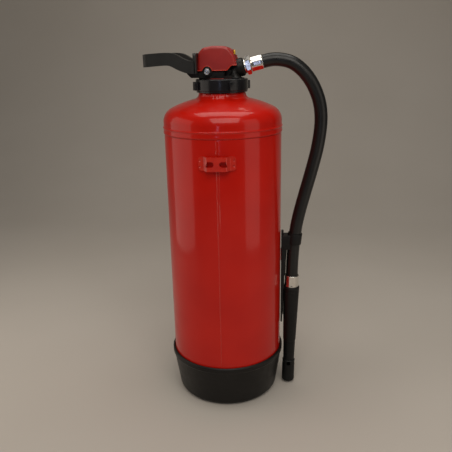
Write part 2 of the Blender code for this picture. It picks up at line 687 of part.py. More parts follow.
def make_strike_cap():
    """The hood that is struck: it turns on two shoulder screws, and its rib drives the plunger."""
    outline = cap_outline()
    cap = plate("strike_cap", outline, CAP_HALF_WIDTH, RED_PLASTIC, SIDE_VIEW)
    soften(cap, 1.6 * MM)
    hollow = shrunk(outline, CAP_WALL)
    lowest = outline[0][1] - 5 * MM
    inside = [*hollow[:-2], (hollow[-3][0], lowest), (hollow[0][0], lowest)]
    cavity = plate("cap_cavity", inside, CAP_HALF_WIDTH - CAP_WALL, matrix=SIDE_VIEW)
    across = CAP_HALF_WIDTH + MM
    notch = rod("boss_notch", PIVOT_BOSS_RADIUS + 2 * GAP, -across, across, matrix=PIVOT @ ALONG_Y)
    arch = box(
        "outlet_arch",
        (BODY_FRONT_X + 4 * MM, -BOSS_RADIUS - 4 * GAP, BODY_Z),
        (OUTLET_FACE.x, BOSS_RADIUS + 4 * GAP, BLOCK_Z[0]),
    )
    combine(cap, "DIFFERENCE", cavity, notch, arch)
    ceiling = outline[7][1] - CAP_WALL / 2
    block = soften(
        box(
            "pin_block",
            (BLOCK_X[0], -BLOCK_HALF_WIDTH, BLOCK_Z[0]),
            (BLOCK_X[1], BLOCK_HALF_WIDTH, BLOCK_Z[1]),
        ),
        0.6 * MM,
    )
    rib = rod("pusher_rib", PUSHER_RADIUS, PLUNGER_TOP_Z + GAP, ceiling)
    combine(cap, "UNION", block, rib)
    lug_in, lug_out = CAP_LUG_Y
    for side in (-1, 1):
        low, high = sorted((side * lug_in, side * lug_out))
        foot = arc((PIVOT_X, PIVOT_Z), CAP_LUG_RADIUS, 180, 360, 10)
        lug = plate(
            f"hinge_lug_{side}",
            [*foot, (PIVOT_X + CAP_LUG_RADIUS, ceiling), (PIVOT_X - CAP_LUG_RADIUS, ceiling)],
            (high - low) / 2,
            matrix=Matrix.Translation((0, (low + high) / 2, 0)) @ SIDE_VIEW,
        )
        combine(cap, "UNION", lug)
    pin_hole = rod("pin_hole", PIN_RADIUS + GAP, -PIN_LENGTH - MM, 3 * MM, matrix=PIN, sides=12)
    pivot_hole = rod(
        "cap_pivot_hole", PIVOT_SHANK + GAP, -CAP_HALF_WIDTH, CAP_HALF_WIDTH, matrix=PIVOT @ ALONG_Y, sides=16
    )
    combine(cap, "DIFFERENCE", pin_hole, pivot_hole)


def make_pivot_screws():
    head_thickness = 2.2 * MM
    for number, side in enumerate((-1, 1), 1):
        face = CAP_HALF_WIDTH
        screw = turned(
            f"pivot_screw_{number}",
            [
                (0, face + head_thickness),
                (PIVOT_HEAD - 0.7 * MM, face + head_thickness),
                (PIVOT_HEAD, face + head_thickness - 0.9 * MM),
                (PIVOT_HEAD, face),
                (PIVOT_SHANK, face),
                (PIVOT_SHANK, CAP_LUG_Y[0] - 4 * MM),
                (0, CAP_LUG_Y[0] - 4 * MM),
            ],
            STEEL,
            PIVOT @ Matrix.Rotation(-side * math.pi / 2, 4, "X"),
            SMALL_ROUND,
        )
        socket = rod(
            f"hex_socket_{number}",
            1.8 * MM,
            face + 0.4 * MM,
            face + 2 * head_thickness,
            matrix=screw.matrix_world.copy(),
            sides=6,
        )
        combine(screw, "DIFFERENCE", socket)


def make_plunger():
    stem_end = PLUNGER_TIP_Z + 5 * MM
    ring_z, ring_wire = BODY_Z + 2 * MM, 0.7 * MM
    groove = PLUNGER_RADIUS + GAP - 2 * ring_wire - GAP
    turned(
        "plunger",
        [
            (0, PLUNGER_TOP_Z),
            (PLUNGER_HEAD_RADIUS - 0.8 * MM, PLUNGER_TOP_Z),
            (PLUNGER_HEAD_RADIUS, PLUNGER_TOP_Z - 0.8 * MM),
            (PLUNGER_HEAD_RADIUS, PLUNGER_HEAD_Z),
            (PLUNGER_RADIUS, PLUNGER_HEAD_Z),
            (PLUNGER_RADIUS, ring_z + ring_wire + GAP),
            (groove, ring_z + ring_wire + GAP),
            (groove, ring_z - ring_wire - GAP),
            (PLUNGER_RADIUS, ring_z - ring_wire - GAP),
            (PLUNGER_RADIUS, stem_end),
            (1.4 * MM, stem_end - 1 * MM),
            (1.4 * MM, PLUNGER_TIP_Z + 2 * MM),
            (0, PLUNGER_TIP_Z),
        ],
        STEEL,
        sides=SMALL_ROUND,
    )
    middle = PLUNGER_RADIUS + GAP / 2 - ring_wire
    turned(
        "plunger_o_ring", arc((middle, ring_z), ring_wire, 90, -210, 5), BLACK_RUBBER, sides=SMALL_ROUND
    )
    top = PLUNGER_HEAD_Z - GAP - SPRING_WIRE
    bottom = SPRING_BOTTOM_Z + SPRING_WIRE
    steps = 12 * SPRING_TURNS
    curve = bpy.data.curves.new("return_spring", "CURVE")
    curve.dimensions = "3D"
    curve.bevel_depth = SPRING_WIRE
    curve.bevel_resolution = 1
    curve.use_fill_caps = True
    spline = curve.splines.new("POLY")
    spline.points.add(steps)
    for i, point in enumerate(spline.points):
        turn = 2 * math.pi * SPRING_TURNS * i / steps
        height = bottom + (top - bottom) * i / steps
        point.co = (SPRING_RADIUS * math.cos(turn), SPRING_RADIUS * math.sin(turn), height, 1)
    add_object("return_spring", curve, STEEL)


def make_safety_pin():
    thick, wide, tall = PIN_TAB
    face = BLOCK_X[1] + GAP
    tab = soften(
        box(
            "safety_pin",
            (face, -wide / 2, PIN_Z - tall / 2),
            (face + thick, wide / 2, PIN_Z + tall / 2),
            YELLOW,
        ),
        0.4 * MM,
    )
    shank = rod("safety_pin_shank", PIN_RADIUS, -PIN_LENGTH, thick / 2, matrix=PIN, sides=12)
    combine(tab, "UNION", shank)


def make_carry_handle():
    """A stirrup: its side view, cut out of a bar that is bent round three sides in plan."""
    outer, inner = HANDLE_HALF_WIDTH, HANDLE_HALF_WIDTH - HANDLE_BAR
    outer_corner, inner_corner = HANDLE_CORNERS
    root = PLATE_X[1]
    far = HANDLE_END_X

    def bent(half, end, radius):
        upper = arc((end + radius, half - radius), radius, 90, 180, 6)
        return [(root, half), *upper, *[(x, -y) for x, y in upper[::-1]], (root, -half)]

    outline = bent(outer, far, outer_corner)
    outline += bent(inner, far + HANDLE_BAR, inner_corner)[::-1]
    middle = (PLATE_Z[0] + PLATE_Z[1]) / 2
    handle = plate("carry_handle", outline, 20 * MM, BLACK_PLASTIC, Matrix.Translation((0, 0, middle)))
    side_view = [
        (-70.4, 37.6), (-65.4, 38.7), (-47.4, 39.9), (-36.4, 40.1), (-28.4, 39), (-22.4, 36.4), (-16.4, 32.9),
        (-10.4, 30.4), (-4.4, 29.2), (0.6, 28.9), (0.6, 13.7), (-5.4, 13.9), (-11.4, 14.6), (-17.4, 16.4),
        (-24.4, 19.4), (-31.4, 23), (-37.4, 24.5), (-51.4, 23.9), (-65.4, 22.9), (-70.4, 22.8),
    ]
    side_view = [(BODY_BACK_X + x * MM, NECK_TOP_Z + z * MM) for x, z in side_view]
    band = plate("handle_side", side_view, outer + MM, matrix=SIDE_VIEW)
    combine(handle, "INTERSECT", band)
    back, front = PLATE_X
    step = PLATE_WING_Y + PLATE_WING
    wing = [
        (back, step),
        (back + PLATE_WING, step + PLATE_WING),
        (back + PLATE_WING, outer),
        (front + PLATE_WING, outer),
        (front + PLATE_WING, step),
        (front, PLATE_WING_Y),
    ]
    plan = wing + [(x, -y) for x, y in wing[::-1]]
    half_height = (PLATE_Z[1] - PLATE_Z[0]) / 2
    guard = plate("guard_plate", plan, half_height, matrix=Matrix.Translation((0, 0, middle)))
    soften(guard, 1 * MM)
    low = BODY_Z + 0.8 * MM
    chamfer = 5.2 * MM
    back = PLATE_X[0] - 9 * MM
    top = BODY_STEP_Z
    foot = plate(
        "handle_root",
        [
            (BODY_BACK_X - GAP, low),
            (back + chamfer, low),
            (back, low + chamfer),
            (back, top),
            (BODY_BACK_X - GAP, top),
        ],
        ROOT_HALF_WIDTH,
        matrix=SIDE_VIEW,
    )
    combine(handle, "UNION", guard, foot)
    seat = back + 5 * MM
    for number, side in enumerate((-1, 1), 1):
        line = Matrix.Translation((0, side * HANDLE_SCREW_Y, HANDLE_SCREW_Z)) @ ALONG_X
        shank_hole = rod(
            f"root_hole_{side}",
            HANDLE_SCREW_SHANK + GAP,
            back - MM,
            BODY_BACK_X + MM,
            matrix=line,
            sides=12,
        )
        head_hole = rod(
            f"root_counterbore_{side}", HANDLE_SCREW_HEAD + GAP, back - 3 * MM, seat, matrix=line, sides=16
        )
        combine(handle, "DIFFERENCE", shank_hole, head_hole)
        turned(
            f"handle_screw_{number}",
            [
                (0, BODY_BACK_X + HANDLE_SCREW_REACH),
                (HANDLE_SCREW_SHANK, BODY_BACK_X + HANDLE_SCREW_REACH),
                (HANDLE_SCREW_SHANK, seat - GAP),
                (HANDLE_SCREW_HEAD, seat - GAP),
                (HANDLE_SCREW_HEAD, seat - 3 * MM),
                (0, seat - 3 * MM),
            ],
            STEEL,
            line,
            16,
        )


def make_inside():
    top = SOCKET_BOTTOM_Z + 7 * MM
    bottom = top - CARTRIDGE_LENGTH
    wall = 2 * MM
    shoulder = top - 18 * MM
    neck = CARTRIDGE_NECK
    turned(
        "gas_cartridge",
        [
            (neck, top),
            (neck, top - 9 * MM),
            (CARTRIDGE_RADIUS, shoulder),
            (CARTRIDGE_RADIUS, bottom + 6 * MM),
            (CARTRIDGE_RADIUS - 5 * MM, bottom),
            (0, bottom),
            (0, bottom + wall),
            (CARTRIDGE_RADIUS - 5 * MM, bottom + wall),
            (CARTRIDGE_RADIUS - wall, bottom + 6 * MM + wall),
            (CARTRIDGE_RADIUS - wall, shoulder - wall),
            (CARTRIDGE_BORE, top - 10 * MM),
            (CARTRIDGE_BORE, top),
        ],
        STEEL,
        sides=SMALL_ROUND,
    )
    at_dip = Matrix.Translation((DIP_X, 0, 0))
    bore = DIP_RADIUS - DIP_WALL
    turned(
        "dip_tube",
        [(DIP_RADIUS, DIP_TOP_Z), (DIP_RADIUS, DIP_BOTTOM_Z), (bore, DIP_BOTTOM_Z), (bore, DIP_TOP_Z)],
        BLACK_PLASTIC,
        at_dip,
        16,
    )
    rim = DIP_BOTTOM_Z - GAP
    low = rim - STRAINER_HEIGHT
    strainer = turned(
        "dip_strainer",
        [
            (STRAINER_RADIUS, rim),
            (STRAINER_RADIUS, low),
            (STRAINER_RADIUS - DIP_WALL, low),
            (STRAINER_RADIUS - DIP_WALL, rim - DIP_WALL),
            (bore, rim - DIP_WALL),
            (bore, rim),
        ],
        BLACK_PLASTIC,
        at_dip,
        16,
    )
    for number in range(2):
        slot = box(
            f"strainer_slot_{number}",
            (-STRAINER_RADIUS - MM, -1.2 * MM, low + 3 * MM),
            (STRAINER_RADIUS + MM, 1.2 * MM, rim - 4 * MM),
            matrix=at_dip @ around(90 * number),
        )
        combine(strainer, "DIFFERENCE", slot)


def make_outlet():
    ring_radius, ring = ADAPTOR_RING
    thread = ADAPTOR_RADIUS + 0.6 * MM
    thread_end = HEX_START + 2.1 * MM
    turned(
        "outlet_adaptor",
        [
            (thread, thread_end),
            (thread, GAP + ring),
            (ring_radius, GAP + ring),
            (ring_radius, GAP),
            (ADAPTOR_RADIUS, GAP),
            (ADAPTOR_RADIUS, -10 * MM),
            (OUTLET_BORE, -10 * MM),
            (OUTLET_BORE, thread_end),
        ],
        NICKEL,
        OUTLET,
        SMALL_ROUND,
    )
    gasket_end = thread_end + GAP + 0.8 * MM
    turned(
        "union_gasket",
        [
            (thread - GAP, gasket_end),
            (thread - GAP, thread_end + GAP),
            (OUTLET_BORE, thread_end + GAP),
            (OUTLET_BORE, gasket_end),
        ],
        BLACK_RUBBER,
        OUTLET,
        SMALL_ROUND,
    )
    hex_end = HEX_START + HEX_LENGTH
    nut = soften(rod("hex_nut", HEX_RADIUS, HEX_START, hex_end, NICKEL, OUTLET, 6, 30), 0.5 * MM, 1)
    collar_end = hex_end - 1.6 * MM
    combine(
        nut,
        "DIFFERENCE",
        rod("hex_thread", thread + GAP, HEX_START - MM, collar_end + GAP, matrix=OUTLET),
        rod("hex_back_bore", TAIL_RADIUS + GAP, HEX_START, hex_end + MM, matrix=OUTLET),
    )
    radius, start, end = UPPER_FERRULE
    turned(
        "upper_hose_tail",
        [
            (TAIL_RADIUS, end),
            (TAIL_RADIUS, collar_end),
            (thread - GAP, collar_end),
            (thread - GAP, gasket_end + GAP),
            (TAIL_BORE, gasket_end + GAP),
            (TAIL_BORE, end),
        ],
        NICKEL,
        OUTLET,
        SMALL_ROUND,
    )
    ferrule("upper_ferrule", radius, start, end, OUTLET)


def ferrule(name, radius, start, end, matrix, mouth_at_end=True):
    """A crimped sleeve, closed round the tail at one end and open to the hose at the other."""
    wall, back, edge = 1.3 * MM, 2 * MM, 0.8 * MM
    bore = TAIL_RADIUS + GAP
    if mouth_at_end:
        inside = [(bore, start), (bore, start + back), (radius - wall, start + back), (radius - wall, end)]
    else:
        inside = [(radius - wall, start), (radius - wall, end - back), (bore, end - back), (bore, end)]
    outside = [(radius - edge, end), (radius, end - edge), (radius, start + edge), (radius - edge, start)]
    turned(name, outside + inside, NICKEL, matrix, SMALL_ROUND)


def hose_line():
    """The hose's centreline: a smooth curve from the upper ferrule, through its route, to the nozzle."""
    start = OUTLET @ Vector((0, 0, UPPER_FERRULE[2] + GAP))
    bow = [NOZZLE_TOP.lerp(start, up) + Vector((out * MM, 0, 0)) for up, out in HOSE_ROUTE]
    points = [start, *bow, NOZZLE_TOP]
    first = OUTLET.to_3x3() @ Vector((0, 0, 1))
    last = NOZZLE.to_3x3() @ Vector((0, 0, 1))
    tangents = [(b - a) / 2 for a, b in zip(points, points[2:])]
    tangents = [
        first * (points[1] - points[0]).length,
        *tangents,
        last * (points[-1] - points[-2]).length,
    ]
    line = []
    for a, b, out, into in zip(points, points[1:], tangents, tangents[1:]):
        for i in range(2):
            t = i / 2
            line.append(
                a * (2 * t**3 - 3 * t**2 + 1)
                + out * (t**3 - 2 * t**2 + t)
                + b * (3 * t**2 - 2 * t**3)
                + into * (t**3 - t**2)
            )
    return [*line, points[-1]]


def hose_frame(height):
    """A frame on the hose's centreline at a height, with its own Z along the hose."""
    line = hose_line()
    below = next(i for i, point in enumerate(line) if i > 4 and point.z < height)
    a, b = line[below - 1], line[below]
    here = a.lerp(b, (a.z - height) / (a.z - b.z))
    lean = math.atan2(a.x - b.x, a.z - b.z)
    return Matrix.Translation(here) @ Matrix.Rotation(lean, 4, "Y")


def make_hose():
    curve = bpy.data.curves.new("hose", "CURVE")
    curve.dimensions = "3D"
    curve.bevel_depth = HOSE_RADIUS
    curve.bevel_resolution = 3
    curve.use_fill_caps = True
    spline = curve.splines.new("POLY")
    line = hose_line()
    spline.points.add(len(line) - 1)
    for point, place in zip(spline.points, line):
        point.co = (*place, 1)
    add_object("hose", curve, BLACK_RUBBER)


def make_nozzle():
    """Along the nozzle's own axis, from the hose's end down."""
    radius, length = LOWER_FERRULE
    ferrule("lower_ferrule", radius, GAP, length, NOZZLE, mouth_at_end=False)
    body_start = length + GAP
    body_end = body_start + NOZZLE_BODY_LENGTH
    turned(
        "lower_hose_tail",
        [
            (TAIL_RADIUS, body_start + 8 * MM),
            (TAIL_RADIUS, 1 * MM),
            (TAIL_BORE, 1 * MM),
            (TAIL_BORE, body_start + 8 * MM),
        ],
        NICKEL,
        NOZZLE,
        16,
    )
    groove, depth = 1.2 * MM, 0.5 * MM
    top_radius, waist_radius, end_radius = NOZZLE_RADII
    waist = body_end - NOZZLE_WAIST
    outside = [(end_radius, body_end), (waist_radius - 0.5 * MM, waist + 6 * MM), (waist_radius, waist)]
    for middle in (29.5 * MM, 25.5 * MM):
        here = top_radius - 0.1 * MM
        outside += [(here, middle + groove), (here - depth, middle), (here, middle - groove)]
    outside += [(top_radius, body_start + 0.8 * MM), (top_radius - 0.8 * MM, body_start)]
    tail_bore = TAIL_RADIUS + GAP
    seat = body_start + 10 * MM
    chamber = top_radius - NOZZLE_WALL - depth
    inside = [
        (tail_bore, body_start),
        (tail_bore, seat),
        (chamber, seat),
        (chamber, seat + 8 * MM),
        (waist_radius - NOZZLE_WALL, waist),
        (end_radius - NOZZLE_WALL, body_end),
    ]
    turned("nozzle_body", outside + inside, BLACK_PLASTIC, NOZZLE, SMALL_ROUND)
    jet = seat + GAP
    turned(
        "jet_disc",
        [
            (chamber - GAP, jet + 3 * MM),
            (chamber - GAP, jet),
            (2 * MM, jet),
            (1.4 * MM, jet + 3 * MM),
        ],
        NICKEL,
        NOZZLE,
        SMALL_ROUND,
    )
    start = body_end + GAP
    end = start + NOZZLE_TIP_LENGTH
    tip = NOZZLE_TIP_RADIUS
    edge = 0.8 * MM
    nozzle_tip = turned(
        "nozzle_tip",
        [
            (tip - edge, end),
            (tip, end - edge),
            (tip, start + edge),
            (tip - edge, start),
            (end_radius - NOZZLE_WALL, start),
            (tip - 1.6 * MM, start + 4 * MM),
            (tip - 1.6 * MM, end),
        ],
        BLACK_PLASTIC,
        NOZZLE,
        SMALL_ROUND,
    )
    wide, tall = AIR_HOLE
    hole_start = start + 1.6 * MM
    for number in range(2):
        holes = box(
            f"air_holes_{number}",
            (-wide / 2, -2 * tip, hole_start),
            (wide / 2, 2 * tip, hole_start + tall),
            matrix=NOZZLE @ around(90 * number),
        )
        combine(nozzle_tip, "DIFFERENCE", holes)


def make_holder():
    """The welded lug, and the moulded spine that hooks on it and clips round the hose."""
    low, high = LUG_Z
    lug_face = TANK_RADIUS + GAP + LUG_DEPTH
    box(
        "holder_lug",
        (TANK_RADIUS + GAP, -LUG_HALF_WIDTH, low),
        (lug_face, LUG_HALF_WIDTH, high),
        RED,
    )
    back, front = SPINE_X
    bottom, top = SPINE_Z
    width = SPINE_HALF_WIDTH
    spine_outline = [
        (-width, top), (-width, LUG_Z[0] - 8 * MM), (-width / 2, bottom), (width / 2, bottom),
        (width, LUG_Z[0] - 8 * MM), (width, top),
    ]
    spine = plate(
        "nozzle_holder",
        spine_outline,
        (front - back) / 2,
        BLACK_PLASTIC,
        Matrix.Translation(((front + back) / 2, 0, 0))
        @ Matrix.Rotation(math.pi / 2, 4, "Z")
        @ SIDE_VIEW,
    )
    soften(spine, 0.6 * MM, 1)
    at_clip = hose_frame(sum(CLIP_Z) / 2)
    clip_x = at_clip.translation.x
    clip_inner = HOSE_RADIUS + 2 * GAP
    clip_outer = clip_inner + CLIP_WALL
    half = (CLIP_Z[1] - CLIP_Z[0]) / 2
    opening = 55
    ring = arc((0, 0), clip_outer, 90 + opening, 450 - opening, 20)
    ring += arc((0, 0), clip_inner, 450 - opening, 90 + opening, 20)
    clip = plate("hose_clip", ring, half, matrix=at_clip)
    arm = box(
        "clip_arm",
        ((back + front) / 2, -6 * MM, CLIP_Z[0] - 6 * MM),
        (clip_x - clip_inner * 0.6, 6 * MM, CLIP_Z[1] - 4 * MM),
    )
    hose_room = rod("hose_room", clip_inner, -2.5 * half, 2.5 * half, matrix=at_clip, sides=40)
    combine(arm, "DIFFERENCE", hose_room)
    shelf = box(
        "holder_shelf",
        (front - MM, -4 * MM, LUG_Z[0] - 5 * MM),
        (front + 3 * MM, 4 * MM, CLIP_Z[0] - 5 * MM),
    )
    combine(spine, "UNION", clip, arm, shelf)
    pocket = box(
        "lug_pocket",
        (back - MM, -LUG_HALF_WIDTH - GAP, low - GAP),
        (lug_face + GAP, LUG_HALF_WIDTH + GAP, high + GAP),
    )
    middle = (low + high) / 2
    screw_line = Matrix.Translation((0, 0, middle)) @ ALONG_X
    head_seat = front + 1.4 * MM
    hole = rod("holder_screw_hole", 1.6 * MM + GAP, back, front + 9 * MM, matrix=screw_line, sides=12)
    counterbore = rod("holder_counterbore", 3.2 * MM, head_seat, front + 9 * MM, matrix=screw_line, sides=16)
    combine(spine, "DIFFERENCE", pocket, hole, counterbore)
    turned(
        "holder_screw",
        [
            (0, head_seat + 1.8 * MM),
            (2.7 * MM, head_seat + 1.8 * MM),
            (2.7 * MM, head_seat + GAP),
            (1.6 * MM, head_seat + GAP),
            (1.6 * MM, lug_face + GAP),
            (0, lug_face + GAP),
        ],
        STEEL,
        screw_line,
        16,
    )


def set_motion_origins():
    """Gives each moving piece an empty on its joint's axis as its parent."""
    places = {
        "cap_hinge": ((PIVOT_X, 0, PIVOT_Z), ("strike_cap",)),
        "plunger_slide": ((0, 0, PLUNGER_TOP_Z), ("plunger", "plunger_o_ring", "return_spring")),
        "pin_slide": (PIN.translation, ("safety_pin",)),
    }
    for name, (place, pieces) in places.items():
        axis = bpy.data.objects.new(name, None)
        axis.location = place
        bpy.data.collections["fire_extinguisher"].objects.link(axis)
        for piece in pieces:
            child = bpy.data.objects[piece]
            child.parent = axis
            child.matrix_parent_inverse = Matrix.Translation(place).inverted()


def shade_round_pieces():
    for obj in bpy.data.collections["fire_extinguisher"].objects:
        if obj.type == "MESH":
            round_off(obj)


start_scene()
make_tank()
make_hanger_bracket()
make_foot()
make_union_nut()
make_seals()
make_valve_body()
make_strike_cap()
make_pivot_screws()
make_plunger()
make_safety_pin()
make_carry_handle()
make_inside()
make_outlet()
make_hose()
make_nozzle()
make_holder()
set_motion_origins()
shade_round_pieces()
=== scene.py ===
import json
import math
import random

import bmesh
import bpy
from mathutils import Matrix, Vector


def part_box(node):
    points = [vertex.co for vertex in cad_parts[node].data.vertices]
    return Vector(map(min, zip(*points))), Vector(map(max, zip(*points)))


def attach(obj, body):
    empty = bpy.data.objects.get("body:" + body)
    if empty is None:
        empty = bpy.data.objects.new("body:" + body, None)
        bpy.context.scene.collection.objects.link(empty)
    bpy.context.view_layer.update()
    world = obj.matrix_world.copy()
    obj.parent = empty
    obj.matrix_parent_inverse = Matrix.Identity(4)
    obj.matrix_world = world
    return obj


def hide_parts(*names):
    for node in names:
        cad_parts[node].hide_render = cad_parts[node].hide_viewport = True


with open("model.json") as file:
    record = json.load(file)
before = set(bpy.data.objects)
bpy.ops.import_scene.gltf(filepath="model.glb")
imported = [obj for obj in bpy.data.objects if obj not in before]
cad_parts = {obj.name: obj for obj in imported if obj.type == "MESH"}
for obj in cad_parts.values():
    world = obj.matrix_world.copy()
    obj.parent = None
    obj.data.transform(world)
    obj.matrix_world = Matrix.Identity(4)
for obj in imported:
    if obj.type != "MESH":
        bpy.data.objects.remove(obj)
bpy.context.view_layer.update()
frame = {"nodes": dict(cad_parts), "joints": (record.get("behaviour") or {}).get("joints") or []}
mm = 0.001


# ---- Tank cylinder ---------------------------------------------------------------------------
# Steel sheet rolled to a tube and seam-welded, then powder coated in glossy red.
# It is the first piece on the bench: everything else is welded, screwed or pressed onto it.


def box(name):
    """The lowest and the highest corner of a piece of the frame, in millimetres like all sizes here."""
    return [Vector(corner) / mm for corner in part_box(name)]


tank_low, tank_high = box("tank_cylinder")
tank_radius = tank_high.x
sheet = 1.5


def filleted(corners, closed=True):
    """Points of an outline from (a, b) or (a, b, radius) corners; a radius rounds its corner with an arc."""
    points = []
    count = len(corners)
    for i, corner in enumerate(corners):
        here = Vector(corner[:2])
        radius = corner[2] if len(corner) > 2 else 0
        if radius == 0 or (not closed and i in (0, count - 1)):
            points.append(tuple(here))
            continue
        before = Vector(corners[i - 1][:2]) - here
        after = Vector(corners[(i + 1) % count][:2]) - here
        opening = before.angle(after)
        back = min(radius / math.tan(opening / 2), 0.49 * before.length, 0.49 * after.length)
        reach = back / math.cos(opening / 2)
        centre = here + (before.normalized() + after.normalized()).normalized() * reach
        first = here + before.normalized() * back - centre
        last = here + after.normalized() * back - centre
        sweep = first.angle_signed(last)
        pieces = max(2, round(abs(sweep) / math.radians(13)))
        for k in range(pieces + 1):
            points.append(tuple(centre + Matrix.Rotation(-sweep * k / pieces, 2) @ first))
    return points


def turned(corners, steps=96, matrix=None):
    """A mesh spun about its own Z from the (radius, height) corners of its section."""
    bm = bmesh.new()
    points = [bm.verts.new((a, 0, b)) for a, b in filleted(corners)]
    edges = [bm.edges.new(pair) for pair in zip(points, points[1:] + points[:1])]
    bmesh.ops.spin(
        bm, geom=points + edges, cent=(0, 0, 0), axis=(0, 0, 1), angle=math.tau, steps=steps,
        use_merge=True,
    )
    bmesh.ops.remove_doubles(bm, verts=bm.verts, dist=1e-3)
    bmesh.ops.recalc_face_normals(bm, faces=bm.faces)
    if matrix is not None:
        bm.transform(matrix)
    return bm


def piece(name, bm, material, body, slot, *replaced, sharp=38):
    """Makes the object of a mesh in millimetres, gives it its finish and fixes it to a body."""
    bm.transform(Matrix.Scale(mm, 4))
    mesh = bpy.data.meshes.new(name)
    bm.to_mesh(mesh)
    bm.free()
    mesh.shade_smooth()
    mesh.set_sharp_from_angle(angle=math.radians(sharp))
    obj = bpy.data.objects.new(name, mesh)
    bpy.context.scene.collection.objects.link(obj)
    mesh.materials.append(material)
    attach(obj, body)
    if replaced:
        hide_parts(*replaced)
    return obj


def finish(name, colour, roughness, tones, sheen=None, grain=None, **sockets):
    """A procedural finish from cloudy patterns, each given as (size of spots, detail, how much taller).

    tones is a pattern with the two colours it runs between, sheen one with the lowest and highest
    roughness, and grain one with the height of its relief and its strength.
    """
    material = bpy.data.materials.new(name)
    material.use_nodes = True
    tree = material.node_tree
    shader = tree.nodes["Principled BSDF"]
    for socket, value in {"Base Color": (*colour, 1), "Roughness": roughness, **sockets}.items():
        shader.inputs[socket.replace("_", " ")].default_value = value
    place = tree.nodes.new("ShaderNodeTexCoord").outputs["Object"]

    def pattern(size, detail, taller=1):
        mapping = tree.nodes.new("ShaderNodeMapping")
        mapping.inputs["Scale"].default_value = (1, 1, 1 / taller)
        texture = tree.nodes.new("ShaderNodeTexNoise")
        texture.inputs["Scale"].default_value = 1 / (size * mm)
        texture.inputs["Detail"].default_value = detail
        tree.links.new(place, mapping.inputs["Vector"])
        tree.links.new(mapping.outputs["Vector"], texture.inputs["Vector"])
        return texture.outputs["Fac"]

    start, end = 0.3, 0.7
    ramp = tree.nodes.new("ShaderNodeValToRGB")
    for stop, position, tone in zip(ramp.color_ramp.elements, (start, end), tones[1:]):
        stop.position = position
        stop.color = (*tone, 1)
    tree.links.new(pattern(*tones[0]), ramp.inputs["Fac"])
    tree.links.new(ramp.outputs["Color"], shader.inputs["Base Color"])
    if sheen:
        spread = tree.nodes.new("ShaderNodeMapRange")
        for socket, value in zip(("From Min", "From Max", "To Min", "To Max"), (start, end, *sheen[1:])):
            spread.inputs[socket].default_value = value
        tree.links.new(pattern(*sheen[0]), spread.inputs["Value"])
        tree.links.new(spread.outputs["Result"], shader.inputs["Roughness"])
    if grain:
        bump = tree.nodes.new("ShaderNodeBump")
        bump.inputs["Distance"].default_value = grain[1] * mm
        bump.inputs["Strength"].default_value = grain[2]
        tree.links.new(pattern(*grain[0]), bump.inputs["Height"])
        tree.links.new(bump.outputs["Normal"], shader.inputs["Normal"])
    return material


red_enamel = finish(
    "red_enamel_coat", (0.52, 0.011, 0.003), 0.36,
    tones=((60, 2), (0.49, 0.006, 0.0015), (0.55, 0.009, 0.0025)), sheen=((25, 5), 0.30, 0.40),
    grain=((7, 1), 0.03, 0.4), Specular_IOR_Level=0.12, Coat_Weight=0.5, Coat_Roughness=0.1,
)

piece(
    "tank_shell",
    turned(
        [
            (tank_radius, tank_high.z, 0.2), (tank_radius, tank_low.z + 1),
            (tank_radius - sheet, tank_low.z + 1), (tank_radius - sheet, tank_high.z),
        ],
        steps=160,
    ),
    red_enamel, "tank", "red_enamel", "tank_cylinder",
)


# ---- Longitudinal seam -----------------------------------------------------------------------
# The weld that closes the rolled sheet: a shallow flat bead with two raised toes, a little uneven
# in width and height, painted over. It runs from the girth weld into the foot and flattens out.

seam_width = 4.6
seam_angle = math.radians(0.5)
seam_toe = [(1, 0), (0.92, 0.12), (0.73, 0.95), (0.63, 0.95), (0.44, 0.15), (0.3, 0.12)]
seam_section = [(-a, b) for a, b in seam_toe] + seam_toe[::-1]
seam_pitch = 1.6
foot_high = box("foot_cup")[1]

welder = random.Random(11)
bm = bmesh.new()
height = foot_high.z - 4
ring = None
wander = 0
while height < tank_high.z:
    wander = 0.85 * wander + welder.uniform(-0.06, 0.06)
    swell = 1 + welder.uniform(-0.09, 0.09)
    fade = min(1, max(0.2, (height - 250) / 60))
    line = []
    for across, proud in seam_section:
        angle = seam_angle + (across * seam_width / 2 * swell + wander) / tank_radius
        rough = 1 + welder.uniform(-0.12, 0.12)
        radius = tank_radius - 0.05 + proud * 0.55 * (fade if across > 0 else 1) * rough
        line.append((radius * math.sin(angle), -radius * math.cos(angle), height))
    if ring is None:
        ring = [bm.verts.new(point) for point in line]
        edges = [bm.edges.new(pair) for pair in zip(ring, ring[1:])]
    else:
        swept = bmesh.ops.extrude_edge_only(bm, edges=edges)["geom"]
        ring = [v for v in swept if isinstance(v, bmesh.types.BMVert)]
        edges = [e for e in swept if isinstance(e, bmesh.types.BMEdge) and all(v in ring for v in e.verts)]
        for vertex, point in zip(ring, line):
            vertex.co = point
    height += seam_pitch
bmesh.ops.recalc_face_normals(bm, faces=bm.faces)
if sum(f.normal.y for f in bm.faces) > 0:
    bmesh.ops.reverse_faces(bm, faces=bm.faces)
# A lighter, glossier copy of the red enamel. Its lighter colour is a painted highlight that stands in for
# the side lights glinting on the weld toes and the bracket.
highlight_red_enamel = finish(
    "red_enamel_painted_highlight", (0.56, 0.016, 0.005), 0.3,
    tones=((8, 3), (0.50, 0.008, 0.002), (0.60, 0.018, 0.005)), sheen=((5, 4), 0.26, 0.4),
    grain=((3, 2), 0.05, 0.5), Specular_IOR_Level=0.3, Coat_Weight=0.9, Coat_Roughness=0.12,
)
seam = piece("seam_weld", bm, red_enamel, "tank", "red_enamel", sharp=12)
seam.data.materials.append(highlight_red_enamel)
# The toes' slopes that face sideways get the lighter copy, a painted highlight where the side lights would
# glint.
for face in seam.data.polygons:
    face.material_index = int(abs(face.normal.x) > 0.3)


# ---- Top dome --------------------------------------------------------------------------------
# The pressed upper half. Its skirt is joggled over the cylinder and girth-welded there, which
# leaves the raised, slightly lumpy band; the crown carries the neck ring in a fillet weld.

